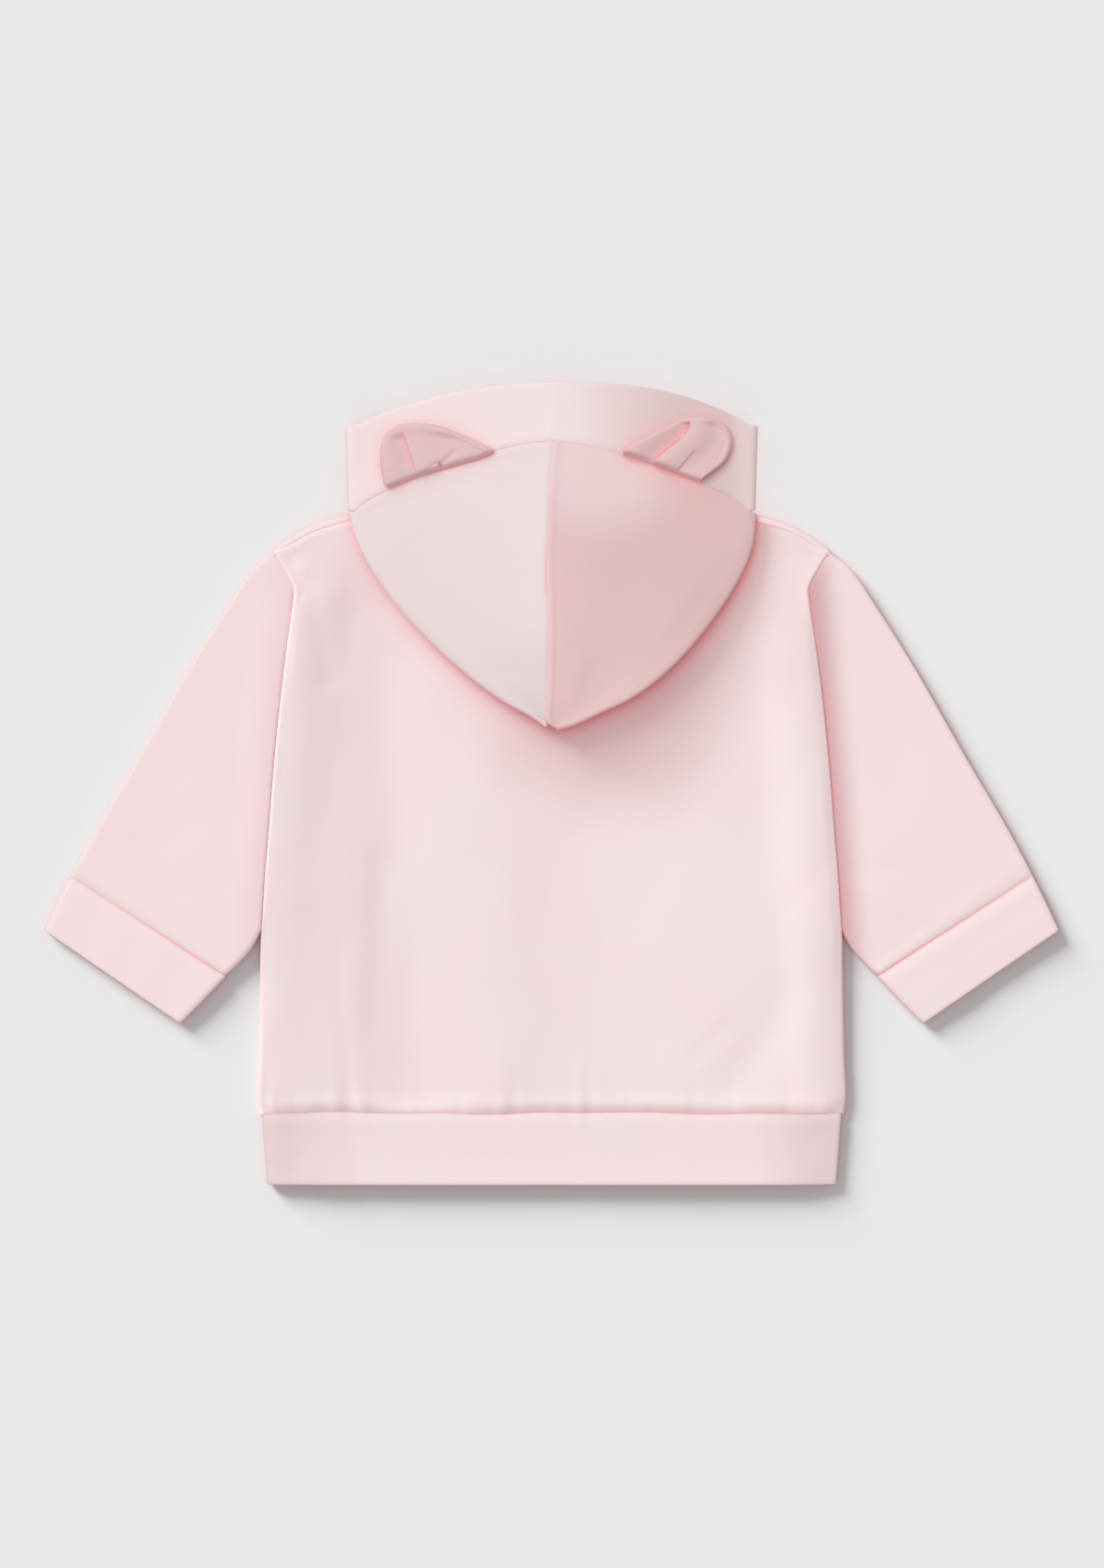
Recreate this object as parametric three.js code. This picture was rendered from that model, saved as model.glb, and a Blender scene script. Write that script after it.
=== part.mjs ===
// A toddler's hooded sweatshirt with two ears, laid face down with its hood turned down over the back.
// Millimetres. X runs across the garment, Y from the hem towards the hood, Z up from the surface it lies on.
// The origin is under the middle of the garment, on that surface.
import * as THREE from 'three';

const { lerp, smoothstep } = THREE.MathUtils;

// The cloth
const CLOTH = 1.2; // one ply of brushed sweatshirt cotton
const DOUBLED = 2 * CLOTH; // hem band, cuffs and hood band are folded strips
const SEAM_GAP = 0.3; // between pieces that are sewn together
const CLEAR = SEAM_GAP + CLOTH; // between the middles of two plies that lie on each other

// Driving dimensions
const HEM_Y = -200.1; // lower fold of the hem band
const BAND_Y = -164.6; // seam of the hem band
const TOP_Y = 200.1; // highest point of the hood's face edge
const SHOULDER_X = 140.5; // shoulder point, where the sleeve's seam starts
const SHOULDER_Y = 116.4;
const NECK_X = 78; // neck point, hidden under the hood
const NECK_Y = 142.4;
const BACK_NECK_DROP = 15;
const FRONT_NECK_DROP = 52;
const NECK_HEM = 1.5; // last strip of the front at its neck edge
const SHOULDER_SEAM_BACK = 2.8; // the front reaches this far over the shoulder
const SHOULDER_ROLL = 2; // bend radius of the cloth at the shoulder
const FRONT_Z = CLOTH / 2; // middle of the front, which lies on the surface
const BACK_Z = 4.7; // middle of the back in the open
const HEM_SEAM_Z = 3.9; // the same at the hem band's seam
const SLEEVE_UNDER_Z = 2.6; // upper ply of a sleeve under the folded side
const SLEEVE_CLEAR = 0.4; // from the middle of the armhole seam to the sleeve's cut edge
const SLEEVE_Z = 4.5; // upper ply of a sleeve in the open
const SHOULDER_Z = 4.6; // shoulder seam
const CUFF_Z = 3 * CLOTH + 0.5; // middle of a cuff's upper side
const HEM_BAND_Z = 3 * CLOTH + 0.6; // the same of the hem band
const HEM_BAND_HALF = { top: 143.6, bottom: 141 }; // half its width at the seam and at the lower fold

const TONE = new THREE.Color(0xf3dedf);
const BAND_TONE = new THREE.Color(0xf4dfe0);

// The body's sides, from the hem up. edge is the fold that shows and z its upper ply's height; seam is the
// hidden side seam, and above the underarm the armhole seam; bend is the fold's radius, turn its angle and
// under the straight stretch past it.
const SIDE = [
  { y: -164.6, edge: 145.4, z: 3.9, seam: 142.2, bend: 1.6, turn: 180, under: 1.0 },
  { y: -155.5, edge: 146.5, z: 4.3, seam: 143.2, bend: 1.7, turn: 180, under: 1.0 },
  { y: -137, edge: 145.7, z: 4.5, seam: 142.5, bend: 1.7, turn: 180, under: 1.0 },
  { y: -96, edge: 144.9, z: 4.9, seam: 141.6, bend: 1.6, turn: 180, under: 1.0 },
  { y: -75, edge: 144.4, z: 5.5, seam: 140.4, bend: 1.1, turn: 180, under: 2.6 },
  { y: -60, edge: 143.3, z: 5.9, seam: 137.3, bend: 0.85, turn: 180, under: 4.2 },
  { y: -45, edge: 142.4, z: 5.9, seam: 135.0, bend: 0.85, turn: 180, under: 5.3 },
  { y: -24, edge: 140.6, z: 5.9, seam: 133.5, bend: 0.85, turn: 180, under: 5.1 },
  { y: 1, edge: 138.7, z: 5.9, seam: 132.3, bend: 0.85, turn: 180, under: 5.5 },
  { y: 24, edge: 136.6, z: 5.9, seam: 128.6, bend: 0.85, turn: 180, under: 7.1 },
  { y: 47, edge: 134.1, z: 5.9, seam: 124.6, bend: 0.85, turn: 180, under: 8.6 },
  { y: 70, edge: 131.1, z: 5.9, seam: 123.0, bend: 0.85, turn: 180, under: 7.2 },
  { y: 82, edge: 129.4, z: 5.9, seam: 124.2, bend: 0.85, turn: 180, under: 4.3 },
  { y: 90, edge: 128.4, z: 5.9, seam: 127.0, bend: 0.85, turn: 168, under: 0.6 },
  { y: 97, edge: 128.2, z: 5.9, seam: 129.3, bend: 0.85, turn: 30, under: 0.7 },
  { y: 107, edge: 133.4, z: 5.3, seam: 134.2, bend: 0.85, turn: 12, under: 0.9 },
  { y: 113.5, edge: 137.8, z: 4.6, seam: 138.5, bend: 0.85, turn: 8, under: 0.9 },
];

// The largest soft folds of the back: a line from one end to the other, how far each side they fade out, and
// how high they rise.
const BACK_FOLDS = [
  { fromX: -96, fromY: 95, toX: -74, toY: -150, spread: 24, height: -1.5 },
  { fromX: -50, fromY: 20, toX: -38, toY: -140, spread: 16, height: 0.5 },
  { fromX: 60, fromY: 40, toX: 96, toY: 90, spread: 22, height: 0.5 },
  { fromX: 92, fromY: -150, toX: 122, toY: -105, spread: 12, height: -0.6 },
  { fromX: 20, fromY: 0, toX: 30, toY: -120, spread: 30, height: -0.5 },
];

// The shoulder's outline from the neck point to the shoulder point.
const SHOULDER = [
  { x: NECK_X, y: NECK_Y },
  { x: 100, y: 134.9 },
  { x: 118, y: 129.3 },
  { x: 131, y: 122.4 },
  { x: SHOULDER_X, y: SHOULDER_Y },
];
// Where the upper edges of the front and the back have their points.
const SHOULDER_XS = [92, 104, 115, 124, 131];

// The right sleeve's outer and inner edges from the armhole to the cuff; the left one is its mirror image.
const SLEEVE = [
  { s: 0, outerX: 140.5, outerY: 116.6, innerX: 136.2, innerY: -24 },
  { s: 0.12, outerX: 151.5, outerY: 107.5, innerX: 136.9, innerY: -34 },
  { s: 0.3, outerX: 166.0, outerY: 83.5, innerX: 138.4, innerY: -50 },
  { s: 0.5, outerX: 186.5, outerY: 48, innerX: 142.4, innerY: -66 },
  { s: 0.7, outerX: 206.6, outerY: 12.6, innerX: 149.6, innerY: -81 },
  { s: 0.88, outerX: 227.5, outerY: -23, innerX: 158.0, innerY: -90.6 },
  { s: 1, outerX: 239.9, outerY: -46.2, innerX: 163.3, innerY: -95.2 },
];
const SLEEVE_STEPS = [0, 0.035, 0.08, 0.14, 0.22, 0.32, 0.44, 0.57, 0.7, 0.82, 0.92, 0.98, 1];
const CUFF = [
  { s: 0, outerX: 239.6, outerY: -47.2, innerX: 163.9, innerY: -96.0 },
  { s: 0.5, outerX: 246.0, outerY: -60.2, innerX: 174.8, innerY: -107.4 },
  { s: 1, outerX: 251.9, outerY: -72.8, innerX: 185.6, innerY: -118.2 },
];

// The hood. Each lower outline runs from the tip to the corner where the fold crosses the ear seam.
const HOOD_OUTLINE = {
  left: [
    { x: -0.9, y: 27.2 },
    { x: -9, y: 33.2 },
    { x: -22.8, y: 40.9 },
    { x: -36.6, y: 50.6 },
    { x: -57.3, y: 68.5 },
    { x: -78, y: 90.6 },
    { x: -91.8, y: 111.3 },
    { x: -97.6, y: 124.2 },
    { x: -100.4, y: 135.6 },
  ],
  right: [
    { x: 0.3, y: 26.6 },
    { x: 11.7, y: 29.9 },
    { x: 25.5, y: 36.3 },
    { x: 40.7, y: 43.7 },
    { x: 60, y: 58.9 },
    { x: 78, y: 79.6 },
    { x: 91.8, y: 100.3 },
    { x: 99.4, y: 118 },
    { x: 101.4, y: 134.6 },
  ],
};
// The centre seam from the tip up over the hood: where it runs and how high it stands.
const HOOD_SEAM = [
  { y: 26.9, x: -0.5, z: 13 },
  { y: 33, x: -3.0, z: 15.5 },
  { y: 51.5, x: -2.2, z: 22 },
  { y: 79, x: -1.8, z: 27.5 },
  { y: 107, x: -2.4, z: 25 },
  { y: 139, x: -1.6, z: 19.5 },
  { y: 171, x: 1.2, z: 13 },
];
// The seam that catches the ears, between the hood's panels and its band, from the middle to the side folds.
const EAR_SEAM = [
  { x: 0, y: 171, z: 13 },
  { x: 20, y: 168.2, z: 12.8 },
  { x: 50, y: 158.6, z: 12.2 },
  { x: 78, y: 148.3, z: 11.2 },
  { x: 92, y: 141.2, z: 10.4 },
  { x: 100.5, y: 134.8, z: 10 },
];
// The folded edge of a hood panel from the tip to the corner: its upper ply's height and how far it floats
// above the back.
const HOOD_EDGE = [
  { b: 0, z: 12.6, lift: 2.2 },
  { b: 0.4, z: 13.6, lift: 2.6 },
  { b: 0.75, z: 13.2, lift: 2.2 },
  { b: 0.93, z: 11, lift: 0.8 },
  { b: 1, z: 10, lift: 0 },
];
const HOOD_SIDE_X = 101.8; // middle of the band at its side folds, where the face edge turns under
const HOOD_CORNER_Y = 177; // where the face edge reaches the side folds
const FACE_ROUND = { left: 2.15, right: 2.8 }; // 2 is a round arc, more is fuller at the sides
const FACE_Z = 8; // middle of the band at the face edge
const FACE_SIDE_Z = 7; // the same at the side folds
const SHOULDER_CLEAR = 2; // the band's lower edge keeps this far from the front's shoulder fold
const NAPE_SHARE = 0.72; // share of a hood panel's rows that end on the centre seam under the hood
const NECK_XS = [20, 38, 52, 62, 69, 73.5, 76.5]; // where the front neck's curve has its points

// The ears, drawn as they lie: base along the ear seam, edge round the ear from the inner end of the base
// to the outer one, and a soft crease across the upper ply.
const EARS = {
  left: {
    base: [
      { x: -31, y: 165 },
      { x: -44, y: 161.6 },
      { x: -56, y: 158.2 },
      { x: -67, y: 154.6 },
      { x: -81.5, y: 148.6 },
    ],
    edge: [
      { x: -29.3, y: 165.6 },
      { x: -36.6, y: 169.2 },
      { x: -48.1, y: 174.4 },
      { x: -57.3, y: 177.6 },
      { x: -66.5, y: 178.9 },
      { x: -74.4, y: 178.2 },
      { x: -81, y: 174.6 },
      { x: -84.3, y: 167.5 },
      { x: -84.4, y: 158.6 },
      { x: -83, y: 149.6 },
    ],
    crease: { fromX: -70.2, fromY: 173, toX: -67.2, toY: 157, spread: 3, height: 1.2 },
  },
  right: {
    base: [
      { x: 37, y: 165.2 },
      { x: 48, y: 161.4 },
      { x: 58, y: 157.8 },
      { x: 66, y: 154.9 },
      { x: 73.6, y: 152.2 },
    ],
    edge: [
      { x: 35.6, y: 166 },
      { x: 46.2, y: 171.6 },
      { x: 57.7, y: 177.4 },
      { x: 66.9, y: 181.5 },
      { x: 77.5, y: 181.9 },
      { x: 85.9, y: 178.1 },
      { x: 89.2, y: 171.2 },
      { x: 86.7, y: 162.2 },
      { x: 81.2, y: 157 },
      { x: 75.4, y: 153 },
    ],
    crease: { fromX: 68.8, fromY: 177, toX: 53.5, toY: 162, spread: 3, height: 1.4 },
  },
};

// The value of a table's column where another of its columns, which grows, has the given value.
function read(table, by, column, at) {
  const last = table.length - 1;
  if (at <= table[0][by]) return table[0][column];
  if (at >= table[last][by]) return table[last][column];
  const i = table.findIndex((row) => row[by] > at) - 1;
  const slope = (a, b) => (table[b][column] - table[a][column]) / (table[b][by] - table[a][by]);
  const width = table[i + 1][by] - table[i][by];
  const t = (at - table[i][by]) / width;
  const startSlope = slope(Math.max(i - 1, 0), i + 1) * width;
  const endSlope = slope(i, Math.min(i + 2, last)) * width;
  return (
    table[i][column] * (2 * t ** 3 - 3 * t ** 2 + 1) +
    startSlope * (t ** 3 - 2 * t ** 2 + t) +
    table[i + 1][column] * (3 * t ** 2 - 2 * t ** 3) +
    endSlope * (t ** 3 - t ** 2)
  );
}

// A closed wall of cloth round a grid of points in its middle. A ring's rows close on themselves.
function wall(rows, thickness, ring = false) {
  const m = rows.length;
  const n = rows[0].length;
  const within = (k, count) => Math.min(Math.max(k, 0), count - 1);
  const corner = (i, j) => rows[within(i, m)][ring ? (j + n) % n : within(j, n)];
  const position = [];
  const index = [];
  for (let i = 0; i < m; i++) {
    for (let j = 0; j < n; j++) {
      const across = corner(i, j + 1).clone().sub(corner(i, j - 1));
      const along = corner(i + 1, j).clone().sub(corner(i - 1, j));
      const out = across.cross(along).normalize().multiplyScalar(thickness / 2);
      position.push(...corner(i, j).clone().add(out).toArray(), ...corner(i, j).clone().sub(out).toArray());
    }
  }
  const outer = (i, j) => 2 * (i * n + (j % n));
  const inner = (i, j) => outer(i, j) + 1;
  const face = (a, b, c, d) => index.push(a, b, c, a, c, d);
  const columns = ring ? n : n - 1;
  for (let j = 0; j < columns; j++) {
    for (let i = 0; i < m - 1; i++) {
      face(outer(i, j), outer(i, j + 1), outer(i + 1, j + 1), outer(i + 1, j));
      face(inner(i, j), inner(i + 1, j), inner(i + 1, j + 1), inner(i, j + 1));
    }
    face(outer(0, j), inner(0, j), inner(0, j + 1), outer(0, j + 1));
    face(outer(m - 1, j), outer(m - 1, j + 1), inner(m - 1, j + 1), inner(m - 1, j));
  }
  for (let i = 0; i < m - 1 && !ring; i++) {
    face(outer(i, 0), outer(i + 1, 0), inner(i + 1, 0), inner(i, 0));
    face(outer(i, n - 1), inner(i, n - 1), inner(i + 1, n - 1), outer(i + 1, n - 1));
  }
  const geometry = new THREE.BufferGeometry();
  geometry.setAttribute('position', new THREE.Float32BufferAttribute(position, 3));
  geometry.setIndex(index);
  if (volume(geometry) < 0) geometry.setIndex(index.reverse());
  geometry.computeVertexNormals();
  return geometry;
}

function volume(geometry) {
  const at = geometry.getAttribute('position');
  const index = geometry.getIndex().array;
  const vertex = (k) => new THREE.Vector3().fromBufferAttribute(at, index[k]);
  let sum = 0;
  for (let k = 0; k < index.length; k += 3) sum += vertex(k).dot(vertex(k + 1).cross(vertex(k + 2)));
  return sum / 6;
}

// An edge that turns over: how far out and how far round each point of it lies, past the start of the bend.
function turnedEdge(bend, turn, straight, bendSteps, straightSteps) {
  const angle = THREE.MathUtils.degToRad(turn);
  const points = [];
  for (let k = 1; k <= bendSteps; k++) {
    const a = (angle * k) / bendSteps;
    points.push({ out: bend * Math.sin(a), over: bend * (1 - Math.cos(a)) });
  }
  const end = points[bendSteps - 1];
  for (let k = 1; k <= straightSteps; k++) {
    const along = (straight * k) / straightSteps;
    points.push({ out: end.out + along * Math.cos(angle), over: end.over + along * Math.sin(angle) });
  }
  return points;
}

const grid = (rowSteps, columnSteps, at) => rowSteps.map((r) => columnSteps.map((c) => at(r, c)));
const steps = (count, from = 0, to = 1) =>
  Array.from({ length: count + 1 }, (_, k) => lerp(from, to, k / count));
const mirror = (rows) => rows.map((row) => row.map((p) => new THREE.Vector3(-p.x, p.y, p.z)));

const shoulderY = (x) => read(SHOULDER, 'x', 'y', Math.abs(x));

function backTopY(x) {
  const share = Math.abs(x) / NECK_X;
  if (share >= 1) return shoulderY(x) - SHOULDER_SEAM_BACK - SEAM_GAP;
  return NECK_Y - SHOULDER_SEAM_BACK - SEAM_GAP - (BACK_NECK_DROP - SHOULDER_SEAM_BACK) * (1 - share ** 2.5);
}

function frontTopY(x) {
  const share = Math.abs(x) / NECK_X;
  return share >= 1 ? shoulderY(x) : NECK_Y - FRONT_NECK_DROP * (1 - share ** 2.4) ** 0.8;
}

// How high the middle of the back lies above the surface.
function backZ(x, y) {
  const toEdge = read(SIDE, 'y', 'edge', y) - Math.abs(x);
  let z = lerp(read(SIDE, 'y', 'z', y), BACK_Z, smoothstep(toEdge, 2, 34));
  for (const fold of BACK_FOLDS) z += foldHeight(fold, x, y) * smoothstep(toEdge, 4, 30);
  z = lerp(z, SHOULDER_Z, smoothstep(y, backTopY(x) - 16, backTopY(x) - 1));
  return lerp(z, HEM_SEAM_Z, smoothstep(-y, -BAND_Y - 6, -BAND_Y));
}

// Where the back starts to bend down at its side, so that the fold reaches the outline.
function backBendX(y) {
  const bend = read(SIDE, 'y', 'bend', y);
  const turn = read(SIDE, 'y', 'turn', y);
  const past = turnedEdge(bend, turn, read(SIDE, 'y', 'under', y), 8, 2);
  return read(SIDE, 'y', 'edge', y) - Math.max(...past.map((p) => p.out));
}

function backPanel() {
  const bendSteps = 5;
  const underSteps = 2;
  const lowYs = [BAND_Y, -163.4, -161.4, -156, -140, -118, -96, -75, -60, -45, -24];
  const sideYs = [...lowYs, 1, 24, 47, 70, 82, 86, 90, 94, 97, 107];
  const topSideY = backTopY(SHOULDER_X - 1.8);
  const half = [20, 40, 60, NECK_X + 0.6, ...SHOULDER_XS].map((x) => x / backBendX(topSideY));
  const across = [-1, ...half.map((u) => -u).reverse(), 0, ...half, 1];
  return [...sideYs, topSideY].map((sideY) => {
    const share = (sideY - BAND_Y) / (topSideY - BAND_Y);
    const bendX = backBendX(sideY);
    const top = across.map((u) => {
      const x = u * bendX;
      const y = lerp(BAND_Y, Math.abs(u) === 1 ? topSideY : backTopY(x), share);
      return new THREE.Vector3(x, y, backZ(x, y));
    });
    const shape = ['bend', 'turn', 'under'].map((column) => read(SIDE, 'y', column, sideY));
    const side = turnedEdge(...shape, bendSteps, underSteps);
    const turned = (end, sign) =>
      side.map((p) => new THREE.Vector3(end.x + sign * p.out, end.y, end.z - p.over));
    return [...turned(top[0], -1).reverse(), ...top, ...turned(top[top.length - 1], 1)];
  });
}

function frontPanel() {
  const edgeStep = 0.9;
  const sideYs = [BAND_Y, -130, -96, -75, -60, -45, -24, 1, 24, 47, 70, 82, 90, 97, 107];
  const topX = read(SIDE, 'y', 'seam', SHOULDER_Y) - SEAM_GAP / 2;
  const topSideY = shoulderY(topX) - SHOULDER_ROLL;
  const half = [...NECK_XS, NECK_X + 0.6, ...SHOULDER_XS].map((x) => x / (topX - edgeStep));
  const across = [-1, ...half.map((u) => -u).reverse(), 0, ...half, 1];
  const rows = [...sideYs, topSideY].map((sideY) => {
    const share = (sideY - BAND_Y) / (topSideY - BAND_Y);
    const seamX = read(SIDE, 'y', 'seam', sideY) - SEAM_GAP / 2;
    // Beside the underarm the front's edge stands up behind the tucked sleeve, to meet the back's fold.
    const lift = 2.3 * smoothstep(sideY, -98, -78) * (1 - smoothstep(sideY, -58, -46));
    const flat = across.map((u) => {
      const x = u * (seamX - edgeStep);
      const end = frontTopY(x) - (Math.abs(x) >= NECK_X ? SHOULDER_ROLL : 0);
      return new THREE.Vector3(x, lerp(BAND_Y, Math.abs(u) === 1 ? topSideY : end, share), FRONT_Z);
    });
    const edge = (end, sign) => new THREE.Vector3(end.x + sign * edgeStep, end.y, FRONT_Z + lift);
    return [edge(flat[0], -1), ...flat, edge(flat[flat.length - 1], 1)];
  });
  // The shoulders roll over to the back; the neck between them lies flat and ends in a cut edge.
  const last = rows[rows.length - 1];
  const isShoulder = (p) => Math.abs(p.x) >= NECK_X;
  const roll = turnedEdge(SHOULDER_ROLL, 180, SHOULDER_SEAM_BACK - SHOULDER_ROLL, 5, 1);
  const over = roll.map((step, k) =>
    last.map((p) => {
      const atNeck = p.y - NECK_HEM * (1 - (k + 1) / roll.length);
      return isShoulder(p) ? new THREE.Vector3(p.x, p.y + step.out, p.z + step.over) : p.clone().setY(atNeck);
    }),
  );
  rows[rows.length - 1] = last.map((p) => (isShoulder(p) ? p : p.clone().setY(p.y - NECK_HEM)));
  return [...rows, ...over];
}

// One ring of a flattened tube. path gives the plan from the outer to the inner edge, upper the upper ply's
// height.
function flatRing(path, lowerZ, upper, shares, bendSteps = 4) {
  const outer = path(0);
  const inner = path(1);
  const width = inner.clone().sub(outer).length();
  const direction = inner.clone().sub(outer).divideScalar(width);
  const outerBend = (upper(outer) - lowerZ) / 2;
  const innerBend = (upper(inner) - lowerZ) / 2;
  const places = [outerBend / width, ...shares, 1 - innerBend / width].map((share) => path(share));
  const ring = places.map((p) => new THREE.Vector3(p.x, p.y, upper(p)));
  const round = (start, bend, sign) => {
    for (let k = 1; k < bendSteps; k++) {
      const a = (Math.PI * k) / bendSteps;
      const p = start.clone().addScaledVector(direction, sign * bend * Math.sin(a));
      ring.push(new THREE.Vector3(p.x, p.y, lowerZ + bend * (1 + sign * Math.cos(a))));
    }
  };
  round(places[places.length - 1], innerBend, 1);
  places.reverse();
  places.forEach((p) => ring.push(new THREE.Vector3(p.x, p.y, lowerZ)));
  round(places[places.length - 1], outerBend, -1);
  return ring;
}

// A place on the armhole seam, from the shoulder point down to the underarm.
function armhole(share) {
  const y = lerp(SLEEVE[0].outerY, SLEEVE[0].innerY, share);
  return new THREE.Vector2(read(SIDE, 'y', 'seam', y) + SLEEVE_CLEAR + 0.6 * smoothstep(-y, -10, 20), y);
}

function sleeveZ(p) {
  const pastEdge = p.x - read(SIDE, 'y', 'edge', p.y);
  const low = lerp(SLEEVE_UNDER_Z, SHOULDER_Z - 0.2, smoothstep(p.y, 92, 99));
  return lerp(low, SLEEVE_Z, smoothstep(pastEdge, 2, 24));
}

function sleeve() {
  const start = SLEEVE[0];
  const nodeYs = [107, 97, 90, 82, 70, 47, 24, 1]; // the same as the body's rows
  const shares = nodeYs.map((y) => (start.outerY - y) / (start.outerY - start.innerY));
  return SLEEVE_STEPS.map((s) => {
    const outer = new THREE.Vector2(read(SLEEVE, 's', 'outerX', s), read(SLEEVE, 's', 'outerY', s));
    const inner = new THREE.Vector2(read(SLEEVE, 's', 'innerX', s), read(SLEEVE, 's', 'innerY', s));
    const path = (share) => {
      const chord = lerp(start.outerX, start.innerX, share);
      const sag = (armhole(share).x - chord) * (1 - smoothstep(s, 0, 0.5)) * (share > 0 && share < 1 ? 1 : 0);
      return outer.clone().lerp(inner, share).add(new THREE.Vector2(sag, 0));
    };
    const dip = 0.9 * smoothstep(s, 0.93, 1);
    return flatRing(path, FRONT_Z, (p) => sleeveZ(p) - dip, shares);
  });
}

const inside = (count) => steps(count).slice(1, -1);

function cuff() {
  return steps(3).map((s) => {
    const outer = new THREE.Vector2(read(CUFF, 's', 'outerX', s), read(CUFF, 's', 'outerY', s));
    const inner = new THREE.Vector2(read(CUFF, 's', 'innerX', s), read(CUFF, 's', 'innerY', s));
    return flatRing((share) => outer.clone().lerp(inner, share), CLOTH, () => CUFF_Z, inside(8));
  });
}

function hemBand() {
  return steps(3).map((s) => {
    const y = lerp(BAND_Y - SEAM_GAP, HEM_Y, s);
    const half = lerp(HEM_BAND_HALF.top, HEM_BAND_HALF.bottom, s);
    const path = (share) => new THREE.Vector2(lerp(-half, half, share), y);
    return flatRing(path, CLOTH, () => HEM_BAND_Z, inside(14));
  });
}

// A smooth curve through the rows of a table, read by its share of the length.
function outline(table) {
  const points = table.map((row) => new THREE.Vector3(row.x, row.y, 0));
  return new THREE.CatmullRomCurve3(points, false, 'centripetal');
}

const seamX = (y) => read(HOOD_SEAM, 'y', 'x', y);
const seamZ = (y) => read(HOOD_SEAM, 'y', 'z', y);

// The ply of the hood that lies on the back, made from the back's own height.
const napeZ = (x, y) => backZ(x, Math.min(y, backTopY(x))) + CLEAR;

const earSeamY = (x) => read(EAR_SEAM, 'x', 'y', Math.abs(x));
const earSeamZ = (x) => read(EAR_SEAM, 'x', 'z', Math.abs(x));

// From the centre seam, at 0, to the fold, at 1: a ridge that runs out into a soft round.
const ridge = (a) => 0.6 * (1 - a) + 0.2 * (1 + Math.cos(Math.PI * a));

// One half of the hood, from the tip's row to the ear seam's. A row runs from the centre seam on top, out to
// the fold, and back under the hood to the centre seam or, in the last rows, to the back neck.
function hoodPanel(side) {
  const sign = side === 'left' ? -1 : 1;
  const fold = outline(HOOD_OUTLINE[side]);
  const inset = SEAM_GAP / 2 + 0.3;
  const rowShares = [0.035, 0.09, 0.17, 0.27, 0.38, 0.49, 0.6, NAPE_SHARE, 0.8, 0.88, 0.94, 0.975, 1];
  const corner = fold.getPointAt(1);
  return rowShares.map((b) => {
    const edge = fold.getPointAt(b);
    const topY = lerp(HOOD_SEAM[0].y, EAR_SEAM[0].y - SEAM_GAP / 2, b ** 0.9);
    const start = new THREE.Vector2(seamX(topY) + sign * inset, topY);
    const foldZ = read(HOOD_EDGE, 'b', 'z', b);
    const lift = read(HOOD_EDGE, 'b', 'lift', b);
    const underZ = (x, y, toFold) => napeZ(x, y) + lift * toFold ** 3;
    const bend = (foldZ - underZ(edge.x, edge.y, 1)) / 2;
    const bendAt = new THREE.Vector2(edge.x - sign * bend, edge.y + 0.5 * bend * (1 - b));
    const row = [];
    for (const a of steps(9)) {
      const p = start.clone().lerp(bendAt, a);
      const arch = earSeamY(p.x) - SEAM_GAP / 2 - lerp(EAR_SEAM[0].y, corner.y, a);
      const y = lerp(p.y + arch * b ** 2, earSeamY(p.x) - SEAM_GAP / 2, b ** 8);
      const z = foldZ + (seamZ(topY) - foldZ) * ridge(a);
      row.push(new THREE.Vector3(p.x, y, lerp(z, earSeamZ(p.x), b ** 8)));
    }
    const out = new THREE.Vector2(edge.x, edge.y).sub(bendAt);
    for (let k = 1; k < 5; k++) {
      const angle = (Math.PI * k) / 5;
      const p = bendAt.clone().addScaledVector(out, Math.sin(angle));
      row.push(new THREE.Vector3(p.x, p.y, foldZ - bend * (1 - Math.cos(angle))));
    }
    const neckShare = Math.max(0, (b - NAPE_SHARE) / (1 - NAPE_SHARE));
    const neckX = sign * Math.max(inset, neckShare * (NECK_X + 1));
    const seamY = lerp(HOOD_SEAM[0].y + 1.5, backTopY(0), Math.min(1, b / NAPE_SHARE));
    const end = b < NAPE_SHARE ? new THREE.Vector2(seamX(seamY) + sign * inset, seamY) : null;
    const neck = new THREE.Vector2(neckX, backTopY(neckX));
    for (const a of steps(8)) {
      const p = bendAt.clone().lerp(end ?? neck, a);
      row.push(new THREE.Vector3(p.x, p.y, underZ(p.x, p.y, 1 - a)));
    }
    return row;
  });
}

// The face edge, from the middle to the side folds.
function faceY(x) {
  const share = Math.min(1, Math.abs(x) / HOOD_SIDE_X);
  return TOP_Y - (TOP_Y - HOOD_CORNER_Y) * share ** (x < 0 ? FACE_ROUND.left : FACE_ROUND.right);
}

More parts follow.
